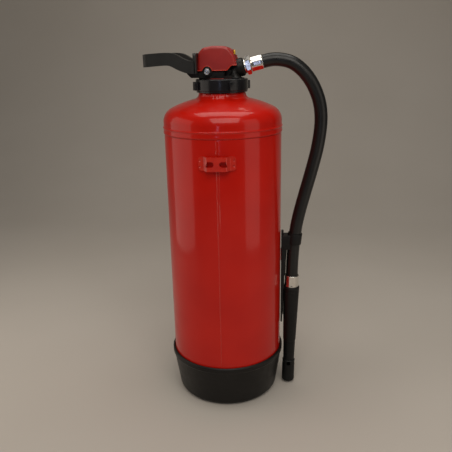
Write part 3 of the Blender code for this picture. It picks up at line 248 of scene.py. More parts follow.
dome_low, dome_high = box("top_dome")
neck_low, neck_high = box("neck_ring")
neck_radius = neck_high.x
neck_bore = 24.5
skirt = tank_radius + 0.5
band = dome_high.x
band_top = dome_low.z + 8
knuckle = 20
knuckle_z = dome_low.z + 15
crown = 161
reach = crown - knuckle
crown_z = knuckle_z - math.sqrt(reach**2 - (skirt - knuckle) ** 2)
turn = math.asin((skirt - knuckle) / reach)
weld_foot = neck_radius + 7.5
section = [(neck_radius - 1.2, neck_low.z + 11), (neck_radius + 0.6, neck_low.z + 10.6)]
for k in range(1, 7):
    a = k / 7
    edge = crown_z + math.sqrt(crown**2 - weld_foot**2)
    section.append(
        (
            neck_radius + 0.6 + (weld_foot - neck_radius - 0.6) * a**1.7,
            neck_low.z + 10.6 + (edge - neck_low.z - 10.6) * (1 - (1 - a) ** 1.7),
        )
    )
first = math.asin(weld_foot / crown)
for k in range(15):
    a = first + (turn - first) * k / 14
    section.append((crown * math.sin(a), crown_z + crown * math.cos(a)))
for k in range(1, 15):
    a = turn + (math.pi / 2 - turn) * k / 14
    section.append((skirt - knuckle + knuckle * math.sin(a), knuckle_z + knuckle * math.cos(a)))
section += [
    (skirt, band_top + 3.5), (skirt + 0.1, band_top + 1.5, 0.8), (band + 0.55, band_top + 0.5, 0.6),
    (band - 0.3, band_top - 1.2, 0.8), (band - 0.2, band_top - 4, 1), (band + 0.1, dome_low.z + 1.6, 1),
    (band - 0.5, dome_low.z, 0.5), (tank_radius - 1, dome_low.z + 0.1),
]
bm = turned(section + [(skirt - 2.4, knuckle_z), (neck_radius, neck_low.z + 1)], steps=200)
lumps = [
    (welder.uniform(0, math.tau), welder.uniform(0.05, 0.16), welder.uniform(-0.22, 0.24))
    for _ in range(60)
]
for degrees, proud in ((-16, 0.7), (-8, 0.9), (-1, 1.1), (5, 0.7), (10, 0.9)):
    lumps.append((math.radians(degrees), 0.06, proud))
for vertex in bm.verts:
    x, y, z = vertex.co
    radius = math.hypot(x, y)
    in_band = dome_low.z + 0.4 < z < band_top + 2.5 and radius > tank_radius
    in_fillet = radius < weld_foot and radius > neck_radius + 0.5
    if not (in_band or in_fillet):
        continue
    around = math.atan2(x, -y)
    push = 0
    for centre, width, proud in lumps:
        away = (around - centre + math.pi) % math.tau - math.pi
        push += proud * math.exp(-((away / width) ** 2)) * (0.7 if in_band else 2.4)
    if in_band:
        push *= math.sin(math.pi * (z - dome_low.z) / (band_top + 2.5 - dome_low.z))
    vertex.co += Vector((x, y, 0)).normalized() * push * 0.6
piece("dome", bm, red_enamel, "tank", "red_enamel", "top_dome", sharp=70)

piece(
    "neck",
    turned(
        [
            (neck_radius - 1.2, neck_high.z), (neck_radius - 1.2, neck_high.z - 11.6),
            (neck_radius, neck_high.z - 11.6, 0.5), (neck_radius, neck_low.z), (neck_bore, neck_low.z),
            (neck_bore, neck_high.z),
        ],
        steps=96,
    ),
    red_enamel, "tank", "red_enamel", "neck_ring",
)


def coated(material, *names):
    """Gives the finish to pieces that are shown as the frame has them."""
    for name in names:
        frame["nodes"][name].data.materials.clear()
        frame["nodes"][name].data.materials.append(material)


coated(red_enamel, "bottom_dome")


# ---- Hanger bracket --------------------------------------------------------------------------
# A pressed steel strip spot-welded to the tank by two tabs. Its middle stands off as a flat plate
# with two D-shaped windows, which the hooks of the wall bracket go through and behind.

bracket_low, bracket_high = box("hanger_bracket")
strip = 2
plate_y = bracket_low.y
plate_half = 13
tab_near, tab_far = math.radians(11.5), math.radians(16.9)
tab_outer = tank_radius + 0.3 + strip


def prism(corners, low, high, bevel=0, segments=3, plane="XZ"):
    """An outline with its corners filleted, made solid from low to high across its plane."""
    bm = bmesh.new()
    if plane == "XZ":
        outline = [bm.verts.new((a, low, b)) for a, b in filleted(corners)]
        push = Vector((0, high - low, 0))
    else:
        outline = [bm.verts.new((a, b, low)) for a, b in filleted(corners)]
        push = Vector((0, 0, high - low))
    face = bm.faces.new(outline)
    swept = bmesh.ops.extrude_face_region(bm, geom=[face])["geom"]
    bmesh.ops.translate(bm, vec=push, verts=[v for v in swept if isinstance(v, bmesh.types.BMVert)])
    bmesh.ops.recalc_face_normals(bm, faces=bm.faces)
    if bevel:
        along = push.normalized()
        rims = [
            e for e in bm.edges if abs((e.verts[1].co - e.verts[0].co).normalized().dot(along)) < 0.01
        ]
        bmesh.ops.bevel(
            bm, geom=rims, offset=bevel, segments=segments, profile=0.5, affect="EDGES", material=-1,
            clamp_overlap=True,
        )
    return bm


def carved(bm, *cutters, operation="DIFFERENCE"):
    """The mesh with each cutter taken away, joined on or kept in common, as a new mesh."""
    def loose(name, shape):
        mesh = bpy.data.meshes.new(name)
        shape.to_mesh(mesh)
        shape.free()
        obj = bpy.data.objects.new(name, mesh)
        bpy.context.scene.collection.objects.link(obj)
        return obj

    target = loose("blank", bm)
    tools = [loose("tool", cutter) for cutter in cutters]
    for tool in tools:
        step = target.modifiers.new("cut", "BOOLEAN")
        step.operation = operation
        step.object = tool
    result = bmesh.new()
    shape = target.evaluated_get(bpy.context.evaluated_depsgraph_get())
    cut = bpy.data.meshes.new_from_object(shape)
    result.from_mesh(cut)
    bpy.data.meshes.remove(cut)
    for obj in (target, *tools):
        bpy.data.objects.remove(obj)
    bmesh.ops.remove_doubles(result, verts=result.verts, dist=2e-3)
    return result


def cylinder(radius, low, high, matrix=None, segments=48):
    """A round bar along Z from low to high."""
    bm = bmesh.new()
    bmesh.ops.create_cone(
        bm, cap_ends=True, segments=segments, radius1=radius, radius2=radius, depth=high - low,
        matrix=Matrix.Translation((0, 0, (low + high) / 2)),
    )
    if matrix is not None:
        bm.transform(matrix)
    return bm


def edged(obj, width, segments=3, angle=30):
    """Breaks the piece's sharp edges, as tumbling or a moulding tool leaves them."""
    bevel = obj.modifiers.new("edge", "BEVEL")
    bevel.width = width * mm
    bevel.segments = segments
    bevel.limit_method = "ANGLE"
    bevel.angle_limit = math.radians(angle)
    bevel.use_clamp_overlap = True
    bevel.harden_normals = True
    return obj


def at_tank(radius, angle):
    """A point of a level circle round the tank, at an angle from the bracket's side."""
    return (radius * math.sin(angle), -radius * math.cos(angle))


outer_side, inner_side = [], []
for angle in (-tab_far, -(tab_near + tab_far) / 2, -tab_near):
    outer_side.append(at_tank(tab_outer, angle))
    inner_side.append(at_tank(tab_outer - strip, angle))
outer_side[-1] = (*outer_side[-1], 1.2)
inner_side[-1] = (*inner_side[-1], 3)
outer_side.append((-plate_half, plate_y, 3))
inner_side.append((-plate_half + 1, plate_y + strip, 1.2))
outer_side += [(-x, y, *rest) for x, y, *rest in outer_side[::-1]]
inner_side += [(-x, y, *rest) for x, y, *rest in inner_side[::-1]]
bm = prism(outer_side + inner_side[::-1], bracket_low.z, bracket_high.z, plane="XY")
ends = [
    e for e in bm.edges
    if all(abs(v.co.x) > 22.5 for v in e.verts) and abs(e.verts[0].co.z - e.verts[1].co.z) < 1e-3
    and abs(e.verts[0].co.y - e.verts[1].co.y) > 1.5
]
bmesh.ops.bevel(bm, geom=ends, offset=4, segments=6, profile=0.5, affect="EDGES", material=-1)
window_z = (bracket_low.z + bracket_high.z) / 2
windows = []
for side in (-1, 1):
    corners = [(3.6, 3.6, 3.5), (3.6, -3.6, 3.5), (13.6, -3.6, 0.8), (11.8, 3.6, 0.8)]
    windows.append(
        prism([(side * a, window_z + b, c) for a, b, c in corners], plate_y - 5, plate_y + 7.2)
    )
dimples = []
for angle, rise in ((-15.3, 3.6), (-15.3, -4.2), (15.0, 3.4), (15.0, -3.4)):
    x, y = at_tank(tab_outer + 0.9, math.radians(angle))
    dimple = bmesh.new()
    bmesh.ops.create_uvsphere(dimple, u_segments=20, v_segments=12, radius=1.9)
    dimple.transform(Matrix.Translation((x, y, window_z + rise)))
    dimples.append(dimple)
# The bracket takes the lighter copy of the enamel, a painted highlight for its tabs and plate catching the
# side lights.
bracket = piece(
    "bracket", carved(bm, *windows, *dimples), highlight_red_enamel, "tank", "red_enamel", "hanger_bracket"
)
edged(bracket, 0.6)


# ---- Foot ------------------------------------------------------------------------------------
# An injection-moulded black cup pressed over the bottom dome. It has a rounded rolled lip, a
# faint parting line under it, and shallow notches in the bottom edge that let water out.

foot_radius = foot_high.x
foot_bottom = 74
moulded_black = finish(
    "black_moulded", (0.007, 0.006, 0.0052), 0.42,
    tones=((35, 4), (0.006, 0.0052, 0.0045), (0.010, 0.0088, 0.0078)), sheen=((9, 6), 0.36, 0.5),
    grain=((0.7, 2), 0.03, 0.5), Specular_IOR_Level=0.25,
)

foot_section = [
    (tank_radius + 0.35, foot_high.z - 1.2, 0.5), (tank_radius + 1.2, foot_high.z, 0.8),
    (foot_radius, foot_high.z - 1.6, 2.2), (foot_radius - 0.2, foot_high.z - 7.5, 2),
    (foot_radius - 1.5, foot_high.z - 9, 0.6), (foot_bottom, 5, 8), (foot_bottom - 5.5, 0, 3),
    (foot_bottom - 14, 0, 0.8), (foot_bottom - 14.5, 1, 0.6), (0, 1), (0, 3), (foot_bottom - 8, 3, 2),
    (tank_radius - 1, foot_high.z - 9), (tank_radius + 0.35, foot_high.z - 7),
]
bm = turned(foot_section, steps=144)
notches = []
for degrees in (-22, 23, 158, 203):
    notch = prism([(-9.5, -2), (-9.5, 1.6, 1), (9.5, 1.6, 1), (9.5, -2)], -foot_radius, -foot_bottom + 9)
    notch.transform(Matrix.Rotation(math.radians(degrees), 4, "Z"))
    notches.append(notch)
piece("foot", carved(bm, *notches), moulded_black, "tank", "black_plastic", "foot_cup", sharp=32)


# ---- Union nut -------------------------------------------------------------------------------
# The big black nut that clamps the head onto the neck. Four lugs stand out of it for a hook
# spanner; it is polished nylon, so it is glossier than the rest of the black mouldings.

nut_low, nut_high = box("union_nut")
nut_radius = 35
lug_reach = 39.6
lug_half = 4.6
glossy_black = finish(
    "black_nylon", (0.009, 0.009, 0.010), 0.22,
    tones=((20, 3), (0.008, 0.008, 0.009), (0.013, 0.013, 0.0145)), sheen=((6, 5), 0.16, 0.27),
    grain=((1.6, 2), 0.02, 0.4), Specular_IOR_Level=0.35,
)

bm = turned(
    [
        (nut_radius - 4.5, nut_high.z, 0.4), (nut_radius - 0.7, nut_high.z, 0.4),
        (nut_radius, nut_high.z - 0.7, 0.4), (nut_radius, nut_low.z + 2.4, 0.4),
        (nut_radius - 0.7, nut_low.z + 2, 0.3), (nut_radius - 0.7, nut_low.z, 0.5),
        (neck_radius - 0.9, nut_low.z), (neck_radius - 0.9, nut_high.z - 2.5), (
            neck_bore, nut_high.z - 2.5,
        ),
        (neck_bore, nut_high.z - 0.8, 0.3), (nut_radius - 5, nut_high.z - 0.8),
    ],
    steps=120,
)
piece("neck_nut", bm, glossy_black, "tank", "black_plastic", "union_nut")
for number in range(4):
    lug = prism(
        [
            (-lug_half, nut_low.z + 3, 0.6), (lug_half, nut_low.z + 3, 0.6),
            (lug_half, nut_high.z - 3, 0.8), (-lug_half, nut_high.z - 3, 0.8),
        ],
        -lug_reach, -nut_radius + 1, bevel=0.5,
    )
    lug.transform(Matrix.Rotation(math.radians(27.7 + 90 * number), 4, "Z"))
    piece(f"nut_lug_{number + 1}", lug, glossy_black, "tank", "black_plastic")


# ---- Washer ring and inner seals -------------------------------------------------------------
# A red nylon ring that the head turns on while the nut is tightened; it shows as a thin red line
# between nut and head. The rubber rings and gaskets stay out of sight in their grooves.

red_moulded = finish(
    "red_moulded", (0.30, 0.012, 0.008), 0.38,
    tones=((18, 3), (0.28, 0.010, 0.007), (0.34, 0.015, 0.010)), sheen=((5, 5), 0.34, 0.46),
    grain=((0.8, 2), 0.025, 0.4), Subsurface_Weight=0.05, Subsurface_Scale=0.002,
)

washer_low, washer_high = box("washer_ring")
piece(
    "slip_ring",
    turned(
        [
            (washer_high.x, nut_high.z + 1, 0.3), (washer_high.x, washer_low.z, 0.3),
            (neck_bore, washer_low.z), (neck_bore, nut_high.z + 1),
        ],
        steps=72,
    ),
    red_moulded, "tank", "red_plastic", "washer_ring",
)

black_rubber = finish(
    "black_rubber_compound", (0.007, 0.007, 0.0067), 0.32,
    tones=((40, 4), (0.006, 0.006, 0.0058), (0.010, 0.0098, 0.0094)), sheen=((7, 5, 6), 0.27, 0.37),
    grain=((0.5, 2), 0.02, 0.5), Specular_IOR_Level=0.4,
)
coated(black_rubber, "neck_o_ring", "cartridge_gasket", "plunger_o_ring", "union_gasket")


# ---- Valve body ------------------------------------------------------------------------------
# The head's glass-filled nylon moulding: a block under the cap, bosses for the pivot screws, a
# flared rib and the tilted outlet boss that the hose fittings screw into.

pivot = Vector(frame["joints"][0]["pos_m"]) / mm
cap_half = box("strike_cap")[1].y
body_half = cap_half - 3
body_back = -28.6
body_front = 6
body_floor = 459.2
body_step = 467.4
body_top = 480
outlet_face = Vector((30.5, 0, 473.2))
outlet_tilt = math.radians(13)
outlet = Matrix.Translation(outlet_face) @ Matrix.Rotation(math.pi / 2 - outlet_tilt, 4, "Y")
along_y = Matrix.Rotation(-math.pi / 2, 4, "X")
at_pivot = Matrix.Translation(pivot) @ along_y

stem = turned(
    [(0, body_floor + 3), (24.2, body_floor + 3), (24.2, nut_high.z - 3), (0, nut_high.z - 3)], steps=64,
)
lower = prism(
    [
        (body_back, body_floor, 1.5), (body_front - 1, body_floor, 1.5), (body_front, body_step, 1.5),
        (body_back, body_step, 1.5),
    ],
    -body_half, body_half, bevel=0.7,
)
upper = prism(
    [
        (-22, body_floor + 2, 1.5), (body_front - 1.3, body_floor + 2, 1.5),
        (body_front - 1.3, body_top, 2), (-22, body_top, 2),
    ],
    -body_half + 1, body_half - 1, bevel=0.7,
)
throat = cylinder(13.5, body_floor + 0.5, body_step + 2, Matrix.Translation((9, 0, 0)), 64)
boss = turned([(0, 0), (10.2, 0, 0.5), (11.8, -1.6, 0.5), (11.8, -26), (0, -26)], steps=72, matrix=outlet)
flare = turned(
    [(0, 13), (4.5, 13), (5.2, 7.5, 8), (8.4, 2.4, 7), (11.5, 0.4, 0.2), (11.5, -0.6, 0.2), (0, -0.6)],
    steps=64, matrix=Matrix.Translation((16.5, -8, nut_high.z + 0.9)),
)
bosses = turned([(0, -23.2), (6.2, -23.2, 0.4), (6.2, 23.2, 0.4), (0, 23.2)], steps=48, matrix=at_pivot)
bm = carved(stem, lower, upper, throat, boss, flare, bosses, operation="UNION")
collar = turned(
    [
        (28, body_floor - 0.1), (29.6, body_floor - 0.1, 0.4), (31.5, nut_high.z + 0.3, 0.4),
        (28, nut_high.z + 0.3),
    ],
    steps=96,
)
window = prism([(-12, 450), (5.5, 450), (5.5, body_floor), (-12, body_floor)], -40, -15)
piece("head_collar", carved(collar, window), glossy_black, "tank", "black_plastic")
well = cylinder(6.9, 467.3, 486)
thread = cylinder(7.3, -10.3, 2, outlet)
slots = []
for side in (-1, 1):
    low, high = sorted((side * 14.3, side * 17.7))
    slots.append(
        prism(
            [
                (pivot.x - 5.8, pivot.z - 5.8), (pivot.x + 7.5, pivot.z - 5.8),
                (pivot.x + 7.5, body_top + 2), (pivot.x - 5.8, body_top + 2),
            ],
            low, high,
        )
    )
pin_room = prism([(5.9, 479), (19, 479), (19, 488), (5.9, 488)], -2.1, 2.1)
screw_hole = cylinder(2.5, -26, 26, at_pivot, 24)
bm = carved(bm, well, thread, *slots, pin_room, screw_hole)
piece("head_moulding", bm, moulded_black, "tank", "black_plastic", "valve_body", sharp=30)


# ---- Carry handle ----------------------------------------------------------------------------
# A stirrup moulded in one with the guard plate behind the cap and the root that is screwed to the
# head. Seen from the side it drops in a soft S from the grip down to the guard.

handle_low, handle_high = box("carry_handle")
grip_half = handle_high.y
grip_end = handle_low.x
bar = 12
bolt_y, bolt_z = 11, 463.9
guard_back = body_back - 5.8
guard_front = body_back - 1.4
wing = 1.9
handle_black = finish(
    "black_handle", (0.014, 0.014, 0.0128), 0.45,
    tones=((30, 4), (0.012, 0.012, 0.011), (0.018, 0.018, 0.0165)), sheen=((8, 6), 0.4, 0.52),
    grain=((0.6, 2), 0.035, 0.6), Specular_IOR_Level=0.35,
)


def smooth(points, between=4):
    """A smooth open line through the points."""
    line = []
    for i in range(len(points) - 1):
        before, a, b, after = (Vector(points[min(max(k, 0), len(points) - 1)]) for k in range(i - 1, i + 3))
        for k in range(between):
            t = k / between
            line.append(
                tuple(
                    0.5
                    * (
                        2 * a + (b - before) * t + (2 * before - 5 * a + 4 * b - after) * t**2
                        + (3 * a - before - 3 * b + after) * t**3
                    )
                )
            )
    return [*line, tuple(points[-1])]


top_line = [
    (-72, 37.6), (-65, 38.8), (-47.4, 39.9), (-36.4, 40.1), (-28.4, 39), (-22.4, 36.4), (-16.4, 32.9),
    (-10.4, 30.4), (-4.4, 29.2), (2, 28.9),
]
under_line = [
    (2, 13.7), (-5.4, 13.9), (-11.4, 14.6), (-17.4, 16.4), (-24.4, 19.4), (-31.4, 23), (-37.4, neck_bore),
    (-51.4, 23.9), (-65.4, 22.9), (-72, 22.8),
]
side = [(body_back + x, neck_high.z + z) for x, z in smooth(top_line) + smooth(under_line)]
plan = [
    (guard_front, grip_half), (grip_end, grip_half, 7), (grip_end, -grip_half, 7),
    (guard_front, -grip_half), (guard_front, bar - grip_half), (grip_end + bar, bar - grip_half, 4),
    (grip_end + bar, grip_half - bar, 4), (guard_front, grip_half - bar),
]
bm = carved(
    prism(plan, neck_high.z, neck_high.z + 60, plane="XY"), prism(side, -grip_half - 5, grip_half + 5),
    operation="INTERSECT",
)
grip = piece("grip", bm, handle_black, "tank", "black_plastic", "carry_handle", sharp=50)
edged(grip, 3.6, 5, 50)

wing_y = cap_half + 2
guard_half = [
    (guard_back, wing_y + wing, 4), (guard_back + wing, wing_y + 2 * wing, 4),
    (guard_back + wing, grip_half, 1.5), (guard_front + wing, grip_half, 1.5),
    (guard_front + wing, wing_y + wing, 3), (guard_front, wing_y, 3),
]
guard_plan = guard_half + [(x, -y, r) for x, y, r in guard_half[::-1]]
guard = prism(guard_plan, neck_high.z + 14, neck_high.z + 39, plane="XY")
corners = prism(
    [(-grip_half, neck_high.z + 13), (grip_half, neck_high.z + 13),
     (grip_half, neck_high.z + 39, 4), (-grip_half, neck_high.z + 39, 4)],
    guard_back - 5, guard_front + 5,
)
corners.transform(Matrix.Rotation(math.pi / 2, 4, "Z") @ Matrix.Scale(-1, 4, (0, 1, 0)))
bmesh.ops.reverse_faces(corners, faces=corners.faces)
guard = piece(
    "guard", carved(guard, corners, operation="INTERSECT"), handle_black, "tank", "black_plastic",
    sharp=40,
)
edged(guard, 1.2, 4, 40)

root = prism(
    [
        (body_back - 0.3, body_floor + 0.8, 0.3), (guard_back - 3.8, body_floor + 0.8, 1.5),
        (guard_back - 9, body_floor + 6, 1), (guard_back - 9, body_step, 1),
        (body_back - 0.3, body_step, 0.3),
    ],
    -20, 20, bevel=1,
)
sinks = []
for side in (-1, 1):
    line = Matrix.Translation((0, side * bolt_y, bolt_z)) @ Matrix.Rotation(math.pi / 2, 4, "Y")
    sinks.append(cylinder(3.3, -60, guard_back - 4, line, 32))
piece("handle_root", carved(root, *sinks), moulded_black, "tank", "black_plastic", sharp=30)


# ---- Strike cap ------------------------------------------------------------------------------
# The red hood that is struck to work the extinguisher. It is an open-bottomed moulding with
# rounded shoulders, a thin lip round its mouth, and a cut-out at the front for the outlet.

cap_wall = 2.3
cap_corners = [
    (-29.9, 456, 8), (-29.2, 481.5, 10), (-27.6, 491.2, 7), (-21.6, 497.3, 8), (-9.5, 499.4, 14),
    (4.0, 499.1, 9), (11.5, 496.6, 7), (18.4, 487.6, 6), (27.1, 456, 8),
]
hood = prism(cap_corners, -cap_half, cap_half, bevel=3.6, segments=7)
notch_radius = 6.8
mouth_z, front_z = 468.8, 475
lip = [(-40, mouth_z)]
lip += [
    (pivot.x + notch_radius * math.cos(math.radians(a)), pivot.z + notch_radius * math.sin(math.radians(a)))
    for a in range(170, 9, -16)
]
lip += [(-9.4, mouth_z, 0.6), (9.2, mouth_z, 3), (14.7, front_z, 3), (40, front_z)]
mouth = prism([*lip, (40, 440), (-40, 440)], -30, 30)
hollow_corners = [
    (-27.1, 462, 0), (-26.8, 481.5, 9), (-25.4, 490, 5), (-20.6, 495.1, 6), (-9.3, 497.1, 12), (4, 496.8, 8),
    (10.4, 494.6, 6), (16.3, 486.8, 5), (19.4, front_z, 0), (19.4, 462, 0),
]
hollow = prism(hollow_corners, -cap_half + cap_wall, cap_half - cap_wall)
arch = prism([(10, 455), (31, 455), (31, 488.4), (10, 488.4)], -13.2, 13.2)
tab_high = box("safety_pin")[1]
tab_thick = 1.3
tab_face = tab_high.x - tab_thick
pin_z = 491.2
pin_place = Vector((tab_face - 0.3, 0, pin_z))
pin_axis = Vector(frame["joints"][2]["axis"])
pin_turn = Vector((0, 0, 1)).rotation_difference(pin_axis)
pin_line = Matrix.Translation(pin_place) @ pin_turn.to_matrix().to_4x4()
block_face = tab_face - 0.3
block = prism(
    [(7, 487.6), (block_face, 488.6, 0.5), (block_face, 494.8, 0.8), (7, 494.8)], -8, 8, bevel=0.4,
)
ridges = []
for x, z in ((18.6, 486.4), (19.5, 483.6), (20.3, 480.8)):
    for low, high in ((-20.5, -14), (14, 20.5)):
        ridges.append(cylinder(1.1, low, high, Matrix.Translation((x, 0, z)) @ along_y, 16))
hood = carved(carved(hood, mouth, hollow, arch), block, *ridges, operation="UNION")
hood = carved(hood, cylinder(1.8, -14, 4, pin_line, 24))
piece("hood", hood, red_moulded, "cap", "red_plastic", "strike_cap", sharp=30)

# The lip bead is the hood's own red plastic in a lighter, more orange copy, a painted highlight along the
# edge of the mouth.
red_lip_painted_highlight = finish(
    "red_lip_painted_highlight", (0.55, 0.035, 0.012), 0.35, tones=((12, 3), (0.50, 0.028, 0.010), (0.60, 0.042, 0.014)),
    sheen=((4, 4), 0.3, 0.42), grain=((0.8, 2), 0.02, 0.4), Subsurface_Weight=0.2, Subsurface_Scale=0.002,
)
rim = [p for p in filleted(lip, closed=False) if -29.4 < p[0] < 21.5]
rim = [(-29.1, mouth_z), *rim, (21.2, front_z)]
for side, name in ((-1, "near"), (1, "far")):
    bead = bpy.data.curves.new("bead", "CURVE")
    bead.dimensions = "3D"
    bead.bevel_depth = 0.62
    bead.bevel_resolution = 3
    bead.use_fill_caps = True
    spline = bead.splines.new("POLY")
    spline.points.add(len(rim) - 1)
    for point, (a, b) in zip(spline.points, rim):
        point.co = (a, side * (cap_half - 0.35), b + 0.35, 1)
    holder = bpy.data.objects.new("bead", bead)
    bpy.context.scene.collection.objects.link(holder)
    shape = holder.evaluated_get(bpy.context.evaluated_depsgraph_get())
    bm = bmesh.new()
    bm.from_mesh(bpy.data.meshes.new_from_object(shape))
    bpy.data.objects.remove(holder)
    bmesh.ops.remove_doubles(bm, verts=bm.verts, dist=1e-3)
    piece(f"cap_lip_{name}", bm, red_lip_painted_highlight, "cap", "red_plastic", sharp=60)


# ---- Pivot and handle screws -----------------------------------------------------------------
# Zinc-plated shoulder screws with a round recess, one each side, on which the cap turns, and the
# two sunk ones that hold the handle's root. All are turned from bar.

zinc_plate = finish(
    "zinc_plate", (0.55, 0.55, 0.56), 0.3, tones=((3, 4), (0.48, 0.48, 0.49), (0.60, 0.60, 0.60)),
    sheen=((1.5, 4), 0.22, 0.36), grain=((0.3, 2), 0.01, 0.4), Metallic=1.0,
)


def screw(name, matrix, face, radius, height, shank, tip, replaced):
    """A pan-head screw whose head stands on face, with a round drive recess, looking along its own Z."""
    bm = turned(
        [
            (0, face + height * 0.95), (radius * 0.36, face + height * 0.85, 0.3),
            (radius * 0.42, face + height * 0.35, 0.1), (radius * 0.68, face + height * 0.35, 0.1),
            (radius * 0.78, face + height, 0.2), (radius * 0.93, face + height * 0.9, 0.3),
            (radius, face + height * 0.5, 0.3), (radius, face, 0.2), (shank, face), (shank, tip + 0.5),
            (shank - 0.5, tip), (0, tip),
        ],
        steps=48, matrix=matrix,
    )
    piece(name, bm, zinc_plate, "tank", "steel", replaced, sharp=28)


for number, side in enumerate((-1, 1), 1):
    look = Matrix.Translation(pivot) @ Matrix.Rotation(-side * math.pi / 2, 4, "X")
    screw(f"pivot_bolt_{number}", look, 23.5, 3.9, 2.1, 2.2, 11, f"pivot_screw_{number}")
    dish = turned(
        [(4.2, 23.25, 0.1), (5.2, 23.25, 0.3), (5.2, 24.1, 0.4), (4.2, 23.9, 0.3)], steps=48, matrix=look,
    )
    piece(f"pivot_collar_{number}", dish, glossy_black, "tank", "black_plastic")
    line = Matrix.Translation((0, side * bolt_y, bolt_z)) @ Matrix.Rotation(-math.pi / 2, 4, "Y")
    screw(f"root_bolt_{number}", line, 38.7, 3, 2.6, 2, 17.8, f"handle_screw_{number}")


# ---- Plunger, spring and cartridge -----------------------------------------------------------
# The piercing spindle, its return spring and the gas cartridge it opens, with the dip tube and
# its strainer. They sit inside the head and tank and show only through the hood's mouth.

coated(zinc_plate, "plunger", "return_spring", "gas_cartridge")
coated(moulded_black, "dip_tube", "dip_strainer")


# ---- Safety pin ------------------------------------------------------------------------------
# A yellow nylon pin with a flat pull tab. Its shank goes down through the block on the hood's
# front and stops the cap from being pressed until it is pulled out.

yellow_nylon = finish(
    "yellow_nylon", (0.80, 0.52, 0.03), 0.38, tones=((6, 3), (0.76, 0.47, 0.025), (0.84, 0.56, 0.04)),
    sheen=((3, 4), 0.32, 0.46), grain=((0.5, 2), 0.02, 0.4),
    Subsurface_Weight=0.08, Subsurface_Scale=0.002,
)
tab = bmesh.new()
bmesh.ops.create_cube(tab, size=1)
bmesh.ops.scale(tab, vec=(tab_thick, 13, 5.8), verts=tab.verts)
bmesh.ops.translate(tab, vec=(tab_face + tab_thick / 2, 0, pin_z), verts=tab.verts)
corners = [e for e in tab.edges if abs(e.verts[0].co.x - e.verts[1].co.x) > 1]
bmesh.ops.bevel(tab, geom=corners, offset=2.2, segments=6, profile=0.5, affect="EDGES", material=-1)
shank = cylinder(1.5, -9, 0.8, pin_line, 24)
pin = piece(
    "pull_pin", carved(tab, shank, operation="UNION"), yellow_nylon, "pin", "yellow_plastic", "safety_pin",
)
edged(pin, 0.3)


# ---- Outlet fittings -------------------------------------------------------------------------
# Nickel-plated brass: an adaptor screwed into the head, the hexagon union nut on it, and the
# sleeve crimped over the hose onto its barbed tail.

nickel = finish(
    "nickel_bright", (0.78, 0.75, 0.70), 0.14, tones=((7, 3), (0.72, 0.69, 0.64), (0.82, 0.79, 0.75)),
    sheen=((2.5, 5), 0.1, 0.24), grain=((1.4, 2), 0.03, 0.5), Metallic=1.0,
)

piece(
    "adaptor",
    turned(
        [
            (7.6, 4.4), (7.6, 1.9), (9.6, 1.9, 0.3), (9.6, 0.3, 0.3), (7, 0.3), (7, -10), (3.6, -10),
            (3.6, 4.4),
        ],
        steps=64, matrix=outlet,
    ),
    nickel, "tank", "nickel_plate", "outlet_adaptor",
)
hex_start, hex_end, hex_corner = 2.3, 8.6, 12.1
hexagon = cylinder(hex_corner, hex_start, hex_end, segments=6)
hexagon.transform(Matrix.Rotation(math.radians(30), 4, "Z"))
chamfered = turned(
    [
        (0, hex_end), (hex_corner - 1.9, hex_end, 0.2), (hex_corner + 0.05, hex_end - 1.1, 0.2),
        (hex_corner + 0.05, hex_start + 1.1, 0.2), (hex_corner - 1.9, hex_start, 0.2), (0, hex_start),
    ],
    steps=96,
)
bore = cylinder(7.9, hex_start - 1, hex_end - 1.3)
back_bore = cylinder(5.1, hex_start, hex_end + 1)
bm = carved(carved(hexagon, chamfered, operation="INTERSECT"), bore, back_bore)
bm.transform(outlet)
hexnut = piece("union_hexagon", bm, nickel, "tank", "nickel_plate", "hex_nut", sharp=20)
edged(hexnut, 0.25, 2)
coated(nickel, "upper_hose_tail")


def crimped_sleeve(name, replaced, matrix, radius, start, end, mouth_at_end):
    """A ferrule: a drawn sleeve with rolled ends, squeezed onto the hose by an eight-jaw press."""
    rim = [1.9, 2.6, 3.4]
    straight = end - start - 2 * rim[-1]
    count = 8
    inside = radius - 1.1
    section = [(inside, end), (radius - 0.5, end, 0.2), (radius, end - 0.5, 0.3)]
    section += [(radius, end - level) for level in rim]
    section += [(radius, end - rim[-1] - straight * k / count) for k in range(1, count)]
    section += [(radius, start + level) for level in reversed(rim)]
    section += [(radius, start + 0.5, 0.3), (radius - 0.5, start, 0.2), (inside, start)]
    if mouth_at_end:
        section += [(5.2, start), (5.2, start + 1.6), (inside, start + 1.6)]
        del section[-4]
    else:
        section = [(5.2, end)] + section[1:] + [(inside, end - 1.6), (5.2, end - 1.6)]
    bm = turned(section)
    for vertex in bm.verts:
        x, y, z = vertex.co
        r = math.hypot(x, y)
        if r < radius - 0.6:
            continue
        depth = min(z - start, end - z)
        press = min(max((depth - 1.2) / 1.6, 0), 1)
        flat = math.cos((math.atan2(y, x) * 8) % math.tau)
        squeeze = (0.26 + 0.24 * flat) * press
        vertex.co.x *= (r - squeeze) / r
        vertex.co.y *= (r - squeeze) / r
    bm.transform(matrix)
    return piece(name, bm, nickel, "tank", "nickel_plate", replaced, sharp=60)


upper_sleeve = crimped_sleeve("upper_sleeve", "upper_ferrule", outlet, 10, 9.1, 25, True)


# ---- Hose ------------------------------------------------------------------------------------
# Smooth extruded rubber hose, 17.5 mm across, from the upper sleeve in one long bow down to the
# nozzle's sleeve. It is stiff, so it stands off the tank and straightens as it comes down.

